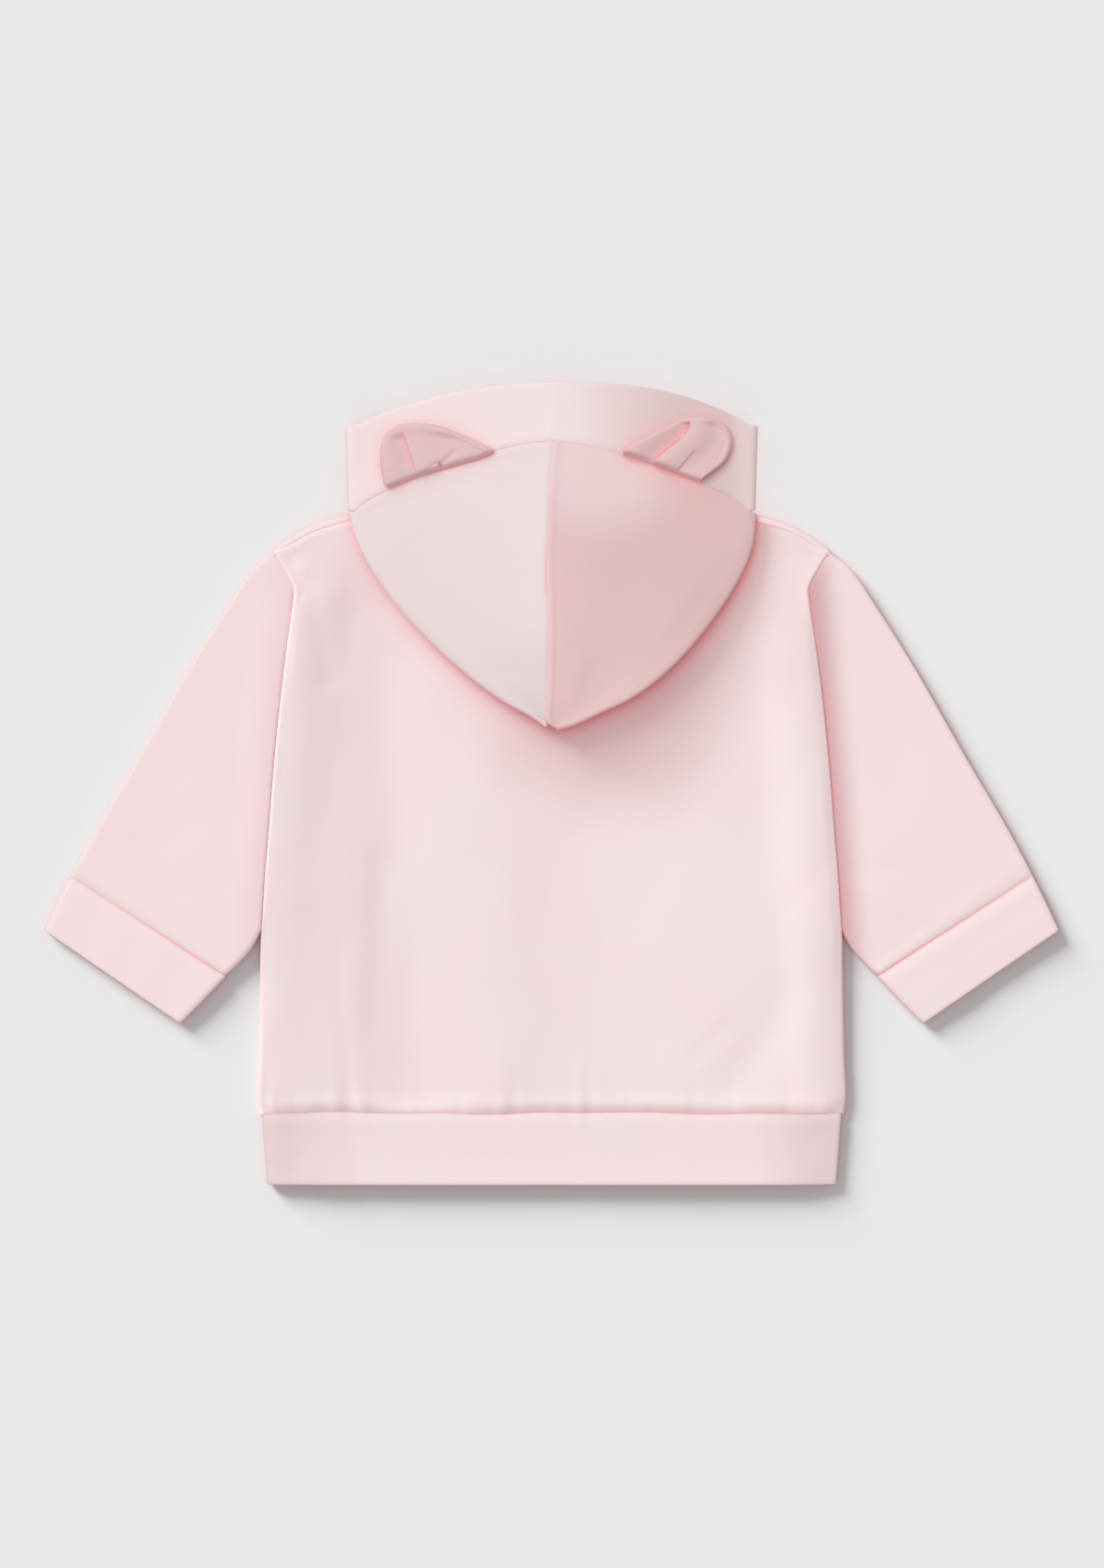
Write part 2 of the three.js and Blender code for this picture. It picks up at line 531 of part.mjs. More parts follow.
// The strip round the face, by stations with a point on the face edge and one on the sewn edge: from the
// front neck along the surface to the side fold, over the head, and down the other side.
function hoodBand() {
  const half = (side) => {
    const sign = side === 'left' ? -1 : 1;
    const rows = hoodPanel(side);
    const seam = rows[rows.length - 1].slice(0, 10);
    const stations = seam.map((p) => {
      const x = (p.x * HOOD_SIDE_X) / HOOD_OUTLINE.right[8].x;
      return {
        face: new THREE.Vector3(x, faceY(x), lerp(FACE_Z, FACE_SIDE_Z, Math.abs(x) / HOOD_SIDE_X)),
        sewn: new THREE.Vector3(p.x, p.y + SEAM_GAP, p.z),
      };
    });
    stations.shift();
    const top = stations[stations.length - 1];
    const under = { face: CLOTH + 0.1, sewn: 3.7 };
    for (let k = 1; k <= 5; k++) {
      const angle = (Math.PI * k) / 5;
      const turn = (p, low) => {
        const bend = (p.z - low) / 2;
        const out = sign * bend * Math.sin(angle);
        return new THREE.Vector3(p.x + out, p.y, p.z - bend * (1 - Math.cos(angle)));
      };
      const sewn = turn(top.sewn, under.sewn);
      sewn.y += (SHOULDER_CLEAR * k) / 5;
      stations.push({ face: turn(top.face, under.face), sewn });
    }
    const wing = [90, NECK_X + 1.5, ...[...NECK_XS].reverse(), 0.15];
    wing.forEach((x) => {
      const overShoulder = x > NECK_X;
      const y = overShoulder ? shoulderY(x) + SHOULDER_CLEAR : frontTopY(x) + 1.1;
      const sewnX = overShoulder ? x : Math.max(0.15, x * 0.975);
      const z = overShoulder ? lerp(2.6, under.sewn, (x - NECK_X) / 20) : CLOTH + 0.1;
      const faceX = Math.max(0.15, x * 0.98);
      const faceAt = lerp(TOP_Y - 100, HOOD_CORNER_Y - 3, x / HOOD_SIDE_X);
      stations.push({
        face: new THREE.Vector3(sign * faceX, faceAt, CLOTH + 0.1),
        sewn: new THREE.Vector3(sign * sewnX, y, z),
      });
    });
    return stations;
  };
  const middle = { x: 1.2, y: EAR_SEAM[0].y + SEAM_GAP / 2, z: EAR_SEAM[0].z };
  const centre = {
    face: new THREE.Vector3(0, TOP_Y, FACE_Z),
    sewn: new THREE.Vector3(middle.x, middle.y, middle.z),
  };
  const stations = [...half('left').reverse(), centre, ...half('right')];
  return stations.map(({ face, sewn }) => steps(5).map((c) => face.clone().lerp(sewn, c)));
}

// Middle of the band where it lies over the hood's top.
function bandZ(x, y) {
  const face = lerp(FACE_Z, FACE_SIDE_Z, Math.abs(x) / HOOD_SIDE_X);
  return lerp(face, earSeamZ(x), (faceY(x) - y) / (faceY(x) - earSeamY(x)));
}

// How high a soft fold raises a place beside it.
function foldHeight(fold, x, y) {
  const dx = fold.toX - fold.fromX;
  const dy = fold.toY - fold.fromY;
  const along = ((x - fold.fromX) * dx + (y - fold.fromY) * dy) / (dx * dx + dy * dy);
  const t = THREE.MathUtils.clamp(along, 0, 1);
  const away = Math.hypot(x - fold.fromX - t * dx, y - fold.fromY - t * dy) / fold.spread;
  return fold.height * Math.exp(-away * away);
}

// One ply of an ear, lying on the band. The lower ply is the first, the upper one the second.
function earPly(side, ply) {
  const { base, edge, crease } = EARS[side];
  const foot = outline(base);
  const rim = outline(edge);
  const onBand = (DOUBLED + CLOTH) / 2 + SEAM_GAP + ply * CLEAR;
  return grid(steps(6), steps(14), (v, u) => {
    const p = foot.getPointAt(u).lerp(rim.getPointAt(u), v);
    const rise = ply * foldHeight(crease, p.x, p.y);
    return new THREE.Vector3(p.x, p.y, bandZ(p.x, p.y) + onBand + rise);
  });
}

const group = new THREE.Group();
function add(name, geometry, color) {
  const material = new THREE.MeshStandardMaterial({ color, roughness: 0.92, metalness: 0 });
  const mesh = new THREE.Mesh(geometry, material);
  mesh.name = name;
  group.add(mesh);
}

add('back_panel', wall(backPanel(), CLOTH), TONE);
add('front_panel', wall(frontPanel(), CLOTH), TONE);
add('sleeve_right', wall(sleeve(), CLOTH, true), TONE);
add('sleeve_left', wall(mirror(sleeve()), CLOTH, true), TONE);
add('cuff_right', wall(cuff(), DOUBLED, true), BAND_TONE);
add('cuff_left', wall(mirror(cuff()), DOUBLED, true), BAND_TONE);
add('hem_band', wall(hemBand(), DOUBLED, true), BAND_TONE);
add('hood_panel_left', wall(hoodPanel('left'), CLOTH), TONE);
add('hood_panel_right', wall(hoodPanel('right'), CLOTH), TONE);
add('hood_band', wall(hoodBand(), DOUBLED), BAND_TONE);
for (const side of ['left', 'right']) {
  add(`ear_${side}_lower`, wall(earPly(side, 0), CLOTH), TONE);
  add(`ear_${side}_upper`, wall(earPly(side, 1), CLOTH), TONE);
}

export default group;
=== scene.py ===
"""A toddler's hooded sweatshirt with ears on its hood, laid face down, the hood turned down over the back."""
import math

import bpy
import numpy as np
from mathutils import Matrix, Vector


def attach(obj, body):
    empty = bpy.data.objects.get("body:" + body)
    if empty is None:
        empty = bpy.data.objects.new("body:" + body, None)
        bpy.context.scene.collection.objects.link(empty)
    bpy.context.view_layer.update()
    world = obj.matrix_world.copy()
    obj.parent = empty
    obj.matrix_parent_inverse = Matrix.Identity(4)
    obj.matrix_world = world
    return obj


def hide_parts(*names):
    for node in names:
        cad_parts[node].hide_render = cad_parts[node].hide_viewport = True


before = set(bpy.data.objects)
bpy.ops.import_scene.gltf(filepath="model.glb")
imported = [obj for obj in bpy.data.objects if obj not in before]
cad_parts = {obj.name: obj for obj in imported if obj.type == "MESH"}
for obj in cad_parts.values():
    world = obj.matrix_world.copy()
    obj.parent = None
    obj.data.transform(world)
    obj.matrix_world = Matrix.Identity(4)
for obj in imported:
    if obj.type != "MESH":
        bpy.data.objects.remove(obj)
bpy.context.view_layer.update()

# The camera looks straight down on the garment from high above, through a long lens.
MM = 0.001
PHOTO_HEIGHT = 1704
MM_PER_PIXEL = 0.46
LENS_MM = 100.0
SENSOR_MM = 36.0
CAMERA_X = 0.0002

camera_data = bpy.data.cameras.new("camera")
camera_data.lens = LENS_MM
camera_data.sensor_fit = "VERTICAL"
camera_data.sensor_height = SENSOR_MM
camera_data.clip_end = 10.0
camera = bpy.data.objects.new("camera", camera_data)
bpy.context.scene.collection.objects.link(camera)
view_height = PHOTO_HEIGHT * MM_PER_PIXEL * MM
camera.location = (CAMERA_X, 0.0, view_height * LENS_MM / SENSOR_MM)
bpy.context.scene.camera = camera

# The floor is a wide pale sheet, lit softly from the upper left and from all round.
FLOOR_SIZE = 6.0
floor_mesh = bpy.data.meshes.new("floor")
half = FLOOR_SIZE / 2
floor_mesh.from_pydata(
    [(-half, -half, 0), (half, -half, 0), (half, half, 0), (-half, half, 0)], [], [(0, 1, 2, 3)])
floor = bpy.data.objects.new("floor", floor_mesh)
bpy.context.scene.collection.objects.link(floor)
floor_paint = bpy.data.materials.new("floor_paint")
floor_paint.use_nodes = True
floor_shader = floor_paint.node_tree.nodes["Principled BSDF"]
floor_shader.inputs["Base Color"].default_value = (0.735, 0.735, 0.735, 1)
floor_shader.inputs["Roughness"].default_value = 0.9
floor_shader.inputs["Specular IOR Level"].default_value = 0.1
floor_mesh.materials.append(floor_paint)

# One lamp lights the garment, and lower ones the floor and the back, where they draw long soft shadows. What
# each lamp lights is a collection, which pieces join once they are made. The hood and its ears cast no shadow
# from the floor's lamp, which stands so low that theirs would run far out past the shoulders.
floor_only = bpy.data.collections.new("floor_only")
floor_only.objects.link(floor)
back_only = bpy.data.collections.new("back_only")
not_these = bpy.data.collections.new("not_these")
hood_parts = bpy.data.collections.new("hood_parts")
not_these.objects.link(floor)
not_these.collection_objects[0].light_linking.link_state = "EXCLUDE"
for name, energy, colour, angle, towards, lit in [
    ("garment_key", 1.76, (0.95, 1.0, 1.0), 46, (0.36, -0.46, -1.0), not_these),
    ("back_key", 3.0, (0.84, 1.0, 1.0), 24, (0.68, -0.63, -0.29), back_only),
    ("back_fill", 0.62, (0.95, 1.0, 1.0), 60, (0.36, -0.46, -1.0), back_only),
    ("floor_key", 5.6, (0.95, 1.0, 1.0), 24, (0.70, -0.70, -0.335), floor_only),
]:
    key_data = bpy.data.lights.new(name, "SUN")
    key_data.energy = energy
    key_data.color = colour
    key_data.angle = math.radians(angle)
    key = bpy.data.objects.new(name, key_data)
    key.rotation_euler = Vector(towards).to_track_quat("-Z", "Y").to_euler()
    key.light_linking.receiver_collection = lit
    if name == "floor_key":
        key.light_linking.blocker_collection = hood_parts
    bpy.context.scene.collection.objects.link(key)

world = bpy.data.worlds.new("studio")
world.use_nodes = True
world.node_tree.nodes["Background"].inputs["Color"].default_value = (1.0, 0.95, 0.955, 1)
world.node_tree.nodes["Background"].inputs["Strength"].default_value = 0.56
bpy.context.scene.world = world
bpy.context.scene.view_settings.view_transform = "Standard"

# The front panel lies on the surface, hidden but for its shoulders, which roll over to the back. It is cut
# from pale pink cotton sweatshirt cloth, smooth outside and brushed inside.
CLOTH = 1.2
DOUBLED = 2 * CLOTH
SEAM_GAP = 0.3
SEWN = 0.05
CLEAR = SEAM_GAP + CLOTH
HEM_Y, BAND_Y, TOP_Y = -200.1, -164.6, 200.1
SHOULDER_X, SHOULDER_Y = 140.5, 116.4
NECK_X, NECK_Y = 78.0, 142.4
BACK_NECK_DROP = 15.0
FRONT_NECK_DROP = 52.0
SHOULDER_SEAM_BACK = 2.8
SHOULDER_ROLL = 2.0
FRONT_Z = CLOTH / 2
SHOULDER_Z = 4.6

SIDE = {
    "y": [-164.6, -155.5, -137, -96, -75, -60, -45, -24, 1, 24, 47, 70, 82, 90, 97, 107, 113.5],
    "edge": [145.4, 146.5, 145.7, 144.9, 144.4, 143.3, 142.4, 140.6, 138.7, 136.6, 134.1, 131.1, 129.4, 128.4,
             128.2, 133.4, 137.8],
    "z": [3.9, 4.3, 4.5, 4.9, 5.5, 5.9, 5.9, 5.9, 5.9, 5.9, 5.9, 5.9, 5.8, 5.6, 5.35, 5.0, 4.6],
    "seam": [142.2, 143.2, 142.5, 141.6, 140.4, 137.3, 135.0, 133.5, 132.3, 128.6, 124.6, 123.0, 124.2, 127.0,
             129.3, 134.2, 138.5],
    "bend": [1.6, 1.7, 1.7, 1.6, 1.1, 0.85, 0.85, 0.85, 0.85, 0.85, 0.85, 0.85, 0.85, 0.85, 0.85, 0.85, 0.85],
    "turn": [180, 180, 180, 180, 180, 180, 180, 180, 180, 180, 180, 180, 170, 120, 75, 62, 55],
    "under": [1.0, 1.0, 1.0, 1.0, 2.6, 4.2, 5.3, 5.1, 5.5, 7.1, 8.6, 7.2, 3.0, 0.8, 0.5, 0.4, 0.4],
}
SHOULDER = {"x": [78.0, 100, 118, 131, 140.5], "y": [142.4, 134.9, 129.3, 122.4, 116.4]}


def read(table, by, column, at):
    """The value of a column where the column by, which grows, has the value at: smooth through the rows."""
    xs, ys = table[by], table[column]
    if at <= xs[0]:
        return ys[0]
    if at >= xs[-1]:
        return ys[-1]
    i = int(np.searchsorted(xs, at, side="right")) - 1
    width = xs[i + 1] - xs[i]
    low, high = max(i - 1, 0), min(i + 2, len(xs) - 1)
    start = (ys[i + 1] - ys[low]) / (xs[i + 1] - xs[low]) * width
    end = (ys[high] - ys[i]) / (xs[high] - xs[i]) * width
    t = (at - xs[i]) / width
    return (ys[i] * (2 * t**3 - 3 * t**2 + 1) + start * (t**3 - 2 * t**2 + t)
            + ys[i + 1] * (3 * t**2 - 2 * t**3) + end * (t**3 - t**2))


def lerp(a, b, t):
    return a + (b - a) * t


def ease(x, low, high):
    """0 below low, 1 above high, and smooth between."""
    t = min(max((x - low) / (high - low), 0.0), 1.0)
    return t * t * (3 - 2 * t)


def steps(count, low=0.0, high=1.0):
    return [lerp(low, high, k / count) for k in range(count + 1)]


def bell(distance, spread):
    return math.exp(-((distance / spread) ** 2))


def shoulder_y(x):
    return read(SHOULDER, "x", "y", abs(x))


def front_top_y(x):
    share = abs(x) / NECK_X
    return shoulder_y(x) if share >= 1 else NECK_Y - FRONT_NECK_DROP * (1 - share**2.4) ** 0.8


def turned_edge(bend, turn, straight, bend_steps, straight_steps):
    """An edge that turns over: (out, over) of each point past the start of the bend."""
    angle = math.radians(turn)
    points = [(bend * math.sin(angle * k / bend_steps), bend * (1 - math.cos(angle * k / bend_steps)))
              for k in range(1, bend_steps + 1)]
    out, over = points[-1]
    for k in range(1, straight_steps + 1):
        along = straight * k / straight_steps
        points.append((out + along * math.cos(angle), over + along * math.sin(angle)))
    return points


def cloth(name, rows, thickness, material, ring=False):
    """A wall of cloth with rounded cut edges, round a grid of points in its middle. A ring's rows close."""
    grid = np.array(rows, float)
    m, n = grid.shape[:2]
    if ring:
        across = np.roll(grid, -1, 1) - np.roll(grid, 1, 1)
    else:
        across = np.empty_like(grid)
        across[:, 1:-1] = grid[:, 2:] - grid[:, :-2]
        across[:, 0] = grid[:, 1] - grid[:, 0]
        across[:, -1] = grid[:, -1] - grid[:, -2]
    along = np.empty_like(grid)
    along[1:-1] = grid[2:] - grid[:-2]
    along[0] = grid[1] - grid[0]
    along[-1] = grid[-1] - grid[-2]
    normal = np.cross(across, along)
    normal /= np.maximum(np.linalg.norm(normal, axis=2, keepdims=True), 1e-9)

    def unit(v):
        return v / np.maximum(np.linalg.norm(v, axis=-1, keepdims=True), 1e-9)

    across, along = unit(across), unit(along)
    r = thickness / 2

    def run(axis):
        """The length of cloth from the start of its row, or of its column, to each point."""
        gaps = np.diff(grid, axis=axis, prepend=grid.take([0], axis=axis))
        return np.cumsum(np.linalg.norm(gaps, axis=2), axis=axis)

    u, v = run(1), run(0)
    u -= u[:, n // 2 : n // 2 + 1]
    uv = np.stack([u, v], axis=2)

    points, coords, faces = [], [], []

    def layer(p, c):
        start = sum(len(q) for q in points)
        points.append(p.reshape(-1, 3))
        coords.append(c.reshape(-1, 2))
        return start + np.arange(p[..., 0].size).reshape(p.shape[:-1])

    outer = layer(grid + r * normal, uv)
    inner = layer(grid - r * normal, uv)

    def quads(a, closed):
        b = np.roll(a, -1, 1) if closed else a[:, 1:]
        c = a if closed else a[:, :-1]
        faces.append(np.stack([c[:-1], b[:-1], b[1:], c[1:]], axis=-1).reshape(-1, 4))

    quads(outer, ring)
    quads(inner[::-1], ring)

    def rim(top, bottom, middle, direction, up, flat):
        """A half-round edge from the outer face to the inner one."""
        lines = [top]
        for k in (1, 2, 3):
            a = math.pi * k / 4
            lines.append(layer(middle + direction * r * math.sin(a) * 0.9 + up * r * math.cos(a), flat))
        return np.array([*lines, bottom])

    ends = [(0, -1, True), (m - 1, 1, False)]
    for i, sign, flip in ends:
        edge = rim(outer[i], inner[i], grid[i], sign * along[i], normal[i], uv[i])
        quads(edge[::-1] if flip else edge, ring)
    if not ring:
        for j, sign, flip in [(0, -1, False), (n - 1, 1, True)]:
            edge = rim(outer[:, j], inner[:, j], grid[:, j], sign * across[:, j], normal[:, j], uv[:, j])
            quads(edge[::-1] if flip else edge, False)
        # The four corners, where two half-round edges meet, are closed after the doubles are merged.

    mesh = bpy.data.meshes.new(name)
    position = np.concatenate(points) * MM
    quad = np.concatenate(faces)
    mesh.from_pydata(position.tolist(), [], quad.tolist())
    layer_uv = mesh.uv_layers.new(name="cut")
    flat = np.concatenate(coords) * MM
    index = np.empty(len(mesh.loops), dtype=np.int32)
    mesh.loops.foreach_get("vertex_index", index)
    layer_uv.data.foreach_set("uv", flat[index].astype(np.float32).ravel())
    mesh.materials.append(material)
    piece = bpy.data.objects.new(name, mesh)
    bpy.context.scene.collection.objects.link(piece)
    bpy.ops.object.select_all(action="DESELECT")
    piece.select_set(True)
    bpy.context.view_layer.objects.active = piece
    bpy.ops.object.mode_set(mode="EDIT")
    bpy.ops.mesh.select_all(action="SELECT")
    bpy.ops.mesh.remove_doubles(threshold=1e-6)
    bpy.ops.mesh.fill_holes(sides=12)
    bpy.ops.mesh.normals_make_consistent(inside=False)
    bpy.ops.object.mode_set(mode="OBJECT")
    bpy.ops.object.shade_smooth()
    piece.select_set(False)
    return piece


def fleece(name, colour, fold_shade_colour, painted_light_and_shade=(), reach=0.045, deepest=0.25, open_at=0.9):
    """Pale pink sweatshirt cloth: fine knit loops, a faint random unevenness of dye, and painted shade, a
    deeper pink in the folds.

    The painted light and shade on a piece comes as a list of patches, each along a direction or out from a
    point
    that it goes round: where it starts and ends, the colour from there on and, where it has one, the colour
    of the painted fold shade from there on. reach is how far off a fold or a part above the painted shade
    still reaches, in metres; deepest and open_at are the shares of open sky where the painted shade is
    deepest and where it starts.
    """
    material = bpy.data.materials.new(name)
    material.use_nodes = True
    nodes, links = material.node_tree.nodes, material.node_tree.links
    shader = nodes["Principled BSDF"]
    shader.inputs["Roughness"].default_value = 0.92
    shader.inputs["Specular IOR Level"].default_value = 0.08
    shader.inputs["Sheen Weight"].default_value = 0.02
    shader.inputs["Sheen Roughness"].default_value = 0.45
    shader.inputs["Sheen Tint"].default_value = (1.0, 0.93, 0.93, 1)
    place = nodes.new("ShaderNodeUVMap")
    place.uv_map = "cut"

    cloud = nodes.new("ShaderNodeTexNoise")
    cloud.inputs["Scale"].default_value = 55.0
    cloud.inputs["Detail"].default_value = 5.0
    links.new(place.outputs["UV"], cloud.inputs["Vector"])
    lint = nodes.new("ShaderNodeTexNoise")
    lint.inputs["Scale"].default_value = 900.0
    lint.inputs["Detail"].default_value = 3.0
    links.new(place.outputs["UV"], lint.inputs["Vector"])
    dye = nodes.new("ShaderNodeMix")
    dye.data_type = "RGBA"
    dye.inputs["A"].default_value = (*[c * 0.985 for c in colour], 1)
    dye.inputs["B"].default_value = (*[min(1.0, c * 1.012) for c in colour], 1)
    links.new(cloud.outputs["Fac"], dye.inputs["Factor"])
    wash = nodes.new("ShaderNodeTexNoise")
    wash.inputs["Scale"].default_value = 14.0
    wash.inputs["Detail"].default_value = 2.0
    links.new(place.outputs["UV"], wash.inputs["Vector"])
    washed = nodes.new("ShaderNodeMix")
    washed.data_type = "RGBA"
    washed.blend_type = "MULTIPLY"
    washed.inputs["A"].default_value = (1, 1, 1, 1)
    washed.inputs["B"].default_value = (1.0, 0.955, 0.96, 1)
    links.new(wash.outputs["Fac"], washed.inputs["Factor"])
    object_place = nodes.new("ShaderNodeTexCoord")
    # Painted shade: the colour painted where folds and the parts above shut out the sky.
    fold_shade_rgb = nodes.new("ShaderNodeRGB")
    fold_shade_rgb.outputs[0].default_value = (*fold_shade_colour, 1)
    pinks = {"colour": dye.outputs["Result"], "fold_shade": fold_shade_rgb.outputs[0]}
    # Painted light and shade: each patch draws the colour, and the painted fold shade, towards a lighter or
    # darker one across the piece.
    for painted_patch in painted_light_and_shade:
        along = nodes.new("ShaderNodeVectorMath")
        if "round" in painted_patch:
            along.operation = "DISTANCE"
            along.inputs[1].default_value = [c * MM for c in painted_patch["round"]]
        else:
            along.operation = "DOT_PRODUCT"
            along.inputs[1].default_value = painted_patch["direction"]
        links.new(object_place.outputs["Object"], along.inputs[0])
        share = nodes.new("ShaderNodeMapRange")
        share.interpolation_type = "SMOOTHSTEP"
        share.inputs["From Min"].default_value = painted_patch["start"] * MM
        share.inputs["From Max"].default_value = painted_patch["end"] * MM
        links.new(along.outputs["Value"], share.inputs["Value"])
        for key in [k for k in pinks if k in painted_patch]:
            painted_mix = nodes.new("ShaderNodeMix")
            painted_mix.data_type = "RGBA"
            painted_mix.inputs["B"].default_value = (*painted_patch[key], 1)
            links.new(share.outputs["Result"], painted_mix.inputs["Factor"])
            links.new(pinks[key], painted_mix.inputs["A"])
            pinks[key] = painted_mix.outputs["Result"]

    # Painted shade: the less open sky a place sees, in folds, creases and under other parts, the more its
    # colour is drawn to the painted shade.
    folds = nodes.new("ShaderNodeAmbientOcclusion")
    folds.samples = 6
    folds.inputs["Distance"].default_value = reach
    spread = nodes.new("ShaderNodeMapRange")
    spread.inputs["From Min"].default_value = deepest
    spread.inputs["From Max"].default_value = open_at
    links.new(folds.outputs["AO"], spread.inputs["Value"])
    tint = nodes.new("ShaderNodeMix")
    tint.data_type = "RGBA"
    links.new(pinks["fold_shade"], tint.inputs["A"])
    links.new(spread.outputs["Result"], tint.inputs["Factor"])
    # The dye's random unevenness with the painted light and shade, times the faint random wash.
    dye_and_painted_light = nodes.new("ShaderNodeMix")
    dye_and_painted_light.data_type = "RGBA"
    dye_and_painted_light.blend_type = "MULTIPLY"
    dye_and_painted_light.inputs["Factor"].default_value = 1.0
    links.new(pinks["colour"], dye_and_painted_light.inputs["A"])
    links.new(washed.outputs["Result"], dye_and_painted_light.inputs["B"])
    links.new(dye_and_painted_light.outputs["Result"], tint.inputs["B"])
    links.new(tint.outputs["Result"], shader.inputs["Base Color"])

    wales = nodes.new("ShaderNodeTexWave")
    wales.bands_direction = "X"
    wales.inputs["Scale"].default_value = 420.0
    wales.inputs["Distortion"].default_value = 0.6
    wales.inputs["Detail"].default_value = 1.0
    wales.inputs["Detail Scale"].default_value = 2.0
    links.new(place.outputs["UV"], wales.inputs["Vector"])
    relief = nodes.new("ShaderNodeMath")
    relief.operation = "MULTIPLY_ADD"
    relief.inputs[1].default_value = 0.14
    links.new(wales.outputs["Fac"], relief.inputs[0])
    links.new(lint.outputs["Fac"], relief.inputs[2])
    bump = nodes.new("ShaderNodeBump")
    bump.inputs["Strength"].default_value = 0.35
    bump.inputs["Distance"].default_value = 0.00012
    links.new(relief.outputs["Value"], bump.inputs["Height"])
    links.new(bump.outputs["Normal"], shader.inputs["Normal"])
    return material


# The first colour is the cloth's own; the second is painted shade, the deeper pink painted into folds and
# under other parts.
PINK = (0.88, 0.735, 0.735)
PINK_FOLD_SHADE = (0.94, 0.43, 0.45)
fleece_cloth = fleece("fleece", PINK, PINK_FOLD_SHADE)
band_cloth = fleece("banding", (0.89, 0.75, 0.755), PINK_FOLD_SHADE)


def finish_sheet(piece, node):
    """The piece stands for its node: it hangs from the root, and the node's own part is hidden."""
    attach(piece, "root")
    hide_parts(node)


front_seam_x = read(SIDE, "y", "seam", SHOULDER_Y) - SEAM_GAP / 2


def front_rows():
    top_side_y = shoulder_y(front_seam_x) - SHOULDER_ROLL
    near_neck = [73, 75, 76.5, 77.4, 78, 79]
    across = sorted({*steps(60, -1, 1), *[s * x / front_seam_x for s in (-1, 1) for x in near_neck]})
    ups = [*steps(56, BAND_Y, 100), 107, top_side_y]
    rows = []
    for side_y in ups:
        share = (side_y - BAND_Y) / (top_side_y - BAND_Y)
        seam_x = read(SIDE, "y", "seam", side_y) - SEAM_GAP / 2
        lift = 2.3 * ease(side_y, -98, -78) * (1 - ease(side_y, -58, -46))
        row = []
        for u in across:
            x = u * seam_x
            end = front_top_y(x) - (SHOULDER_ROLL if abs(x) >= NECK_X else 0)
            z = FRONT_Z + lift * ease(abs(x), seam_x - 2.2, seam_x)
            row.append((x, lerp(BAND_Y, end, share), z))
        rows.append(row)
    last = rows[-1]
    rolled = turned_edge(SHOULDER_ROLL, 180, SHOULDER_SEAM_BACK - SHOULDER_ROLL, 8, 2)
    for k, (out, over) in enumerate(rolled):
        row = []
        for x, y, z in last:
            slope = 0.9 * ease(abs(x), 130, 140)
            row.append((x, y + out - slope, z + over * (1 - 0.1 * slope)) if abs(x) >= NECK_X
                       else (x, y + 0.05 * (k + 1), z))
        rows.append(row)
    return rows


front = cloth("front_cloth", front_rows(), CLOTH, fleece_cloth)
finish_sheet(front, "front_panel")

# The back panel lies on the front. Its sides fold under, over the sleeves above and to the side seams below.
# It is the same cloth, with long soft troughs where it has been worn and folded, and small puckers above the
# hem band.
BACK_Z = 4.7
HEM_SEAM_Z = 3.9
BACK_FOLDS = [
    ((-92, 80), (-66, -150), 26, -1.6),
    ((-34, 20), (-24, -140), 16, 0.4),
    ((60, 40), (96, 90), 22, 0.5),
    ((92, -150), (122, -105), 12, -0.6),
    ((20, 0), (30, -120), 30, -0.5),
]
BACK_CREASES = [
    ((-127, 60), (-133, -150), 9, 0.25),
    ((-84, 60), (-72, -140), 15, -0.5),
    ((-106, -78), (-104, -158), 4.2, -0.13),
    ((-99, -90), (-97, -160), 4.6, 0.09),
    ((-84, -40), (-88, -120), 7, -0.3),
    ((92, -118), (70, -136), 5.0, -0.16),
    ((-131, 110), (-127, 94), 3.2, -0.55),
    ((-134, 108), (-131, 70), 3.5, 0.35),
    ((-120, 100), (-112, 52), 6, -0.4),
    ((126, 92), (120, 40), 6, -0.15),
    ((112, 100), (122, 66), 7, 0.12),
    ((-138, -60), (-120, -76), 5, -0.15),
    ((136, -40), (118, -62), 6, -0.12),
    ((-20, -20), (-16, -90), 12, 0.25),
]
HEM_PUCKERS = [
    {"x": -139, "height": 0.5, "spread": 2.4, "reach": 9},
    {"x": -128, "height": -0.4, "spread": 2.2, "reach": 7},
    {"x": -108, "height": 0.55, "spread": 2.6, "reach": 13},
    {"x": -101, "height": -0.5, "spread": 2.0, "reach": 16},
    {"x": -94, "height": 0.5, "spread": 2.6, "reach": 12},
    {"x": -70, "height": 0.3, "spread": 3.0, "reach": 8},
    {"x": -46, "height": -0.3, "spread": 2.2, "reach": 7},
    {"x": -25, "height": 0.45, "spread": 2.2, "reach": 10},
    {"x": -19, "height": -0.45, "spread": 1.8, "reach": 12},
    {"x": 3, "height": 0.25, "spread": 2.6, "reach": 6},
    {"x": 14, "height": 0.5, "spread": 2.0, "reach": 11},
    {"x": 19, "height": -0.4, "spread": 1.8, "reach": 9},
    {"x": 44, "height": 0.3, "spread": 3.0, "reach": 7},
    {"x": 71, "height": -0.3, "spread": 2.4, "reach": 8},
    {"x": 95, "height": 0.35, "spread": 2.6, "reach": 9},
    {"x": 118, "height": -0.35, "spread": 2.2, "reach": 7},
    {"x": 136, "height": 0.5, "spread": 2.4, "reach": 8},
]


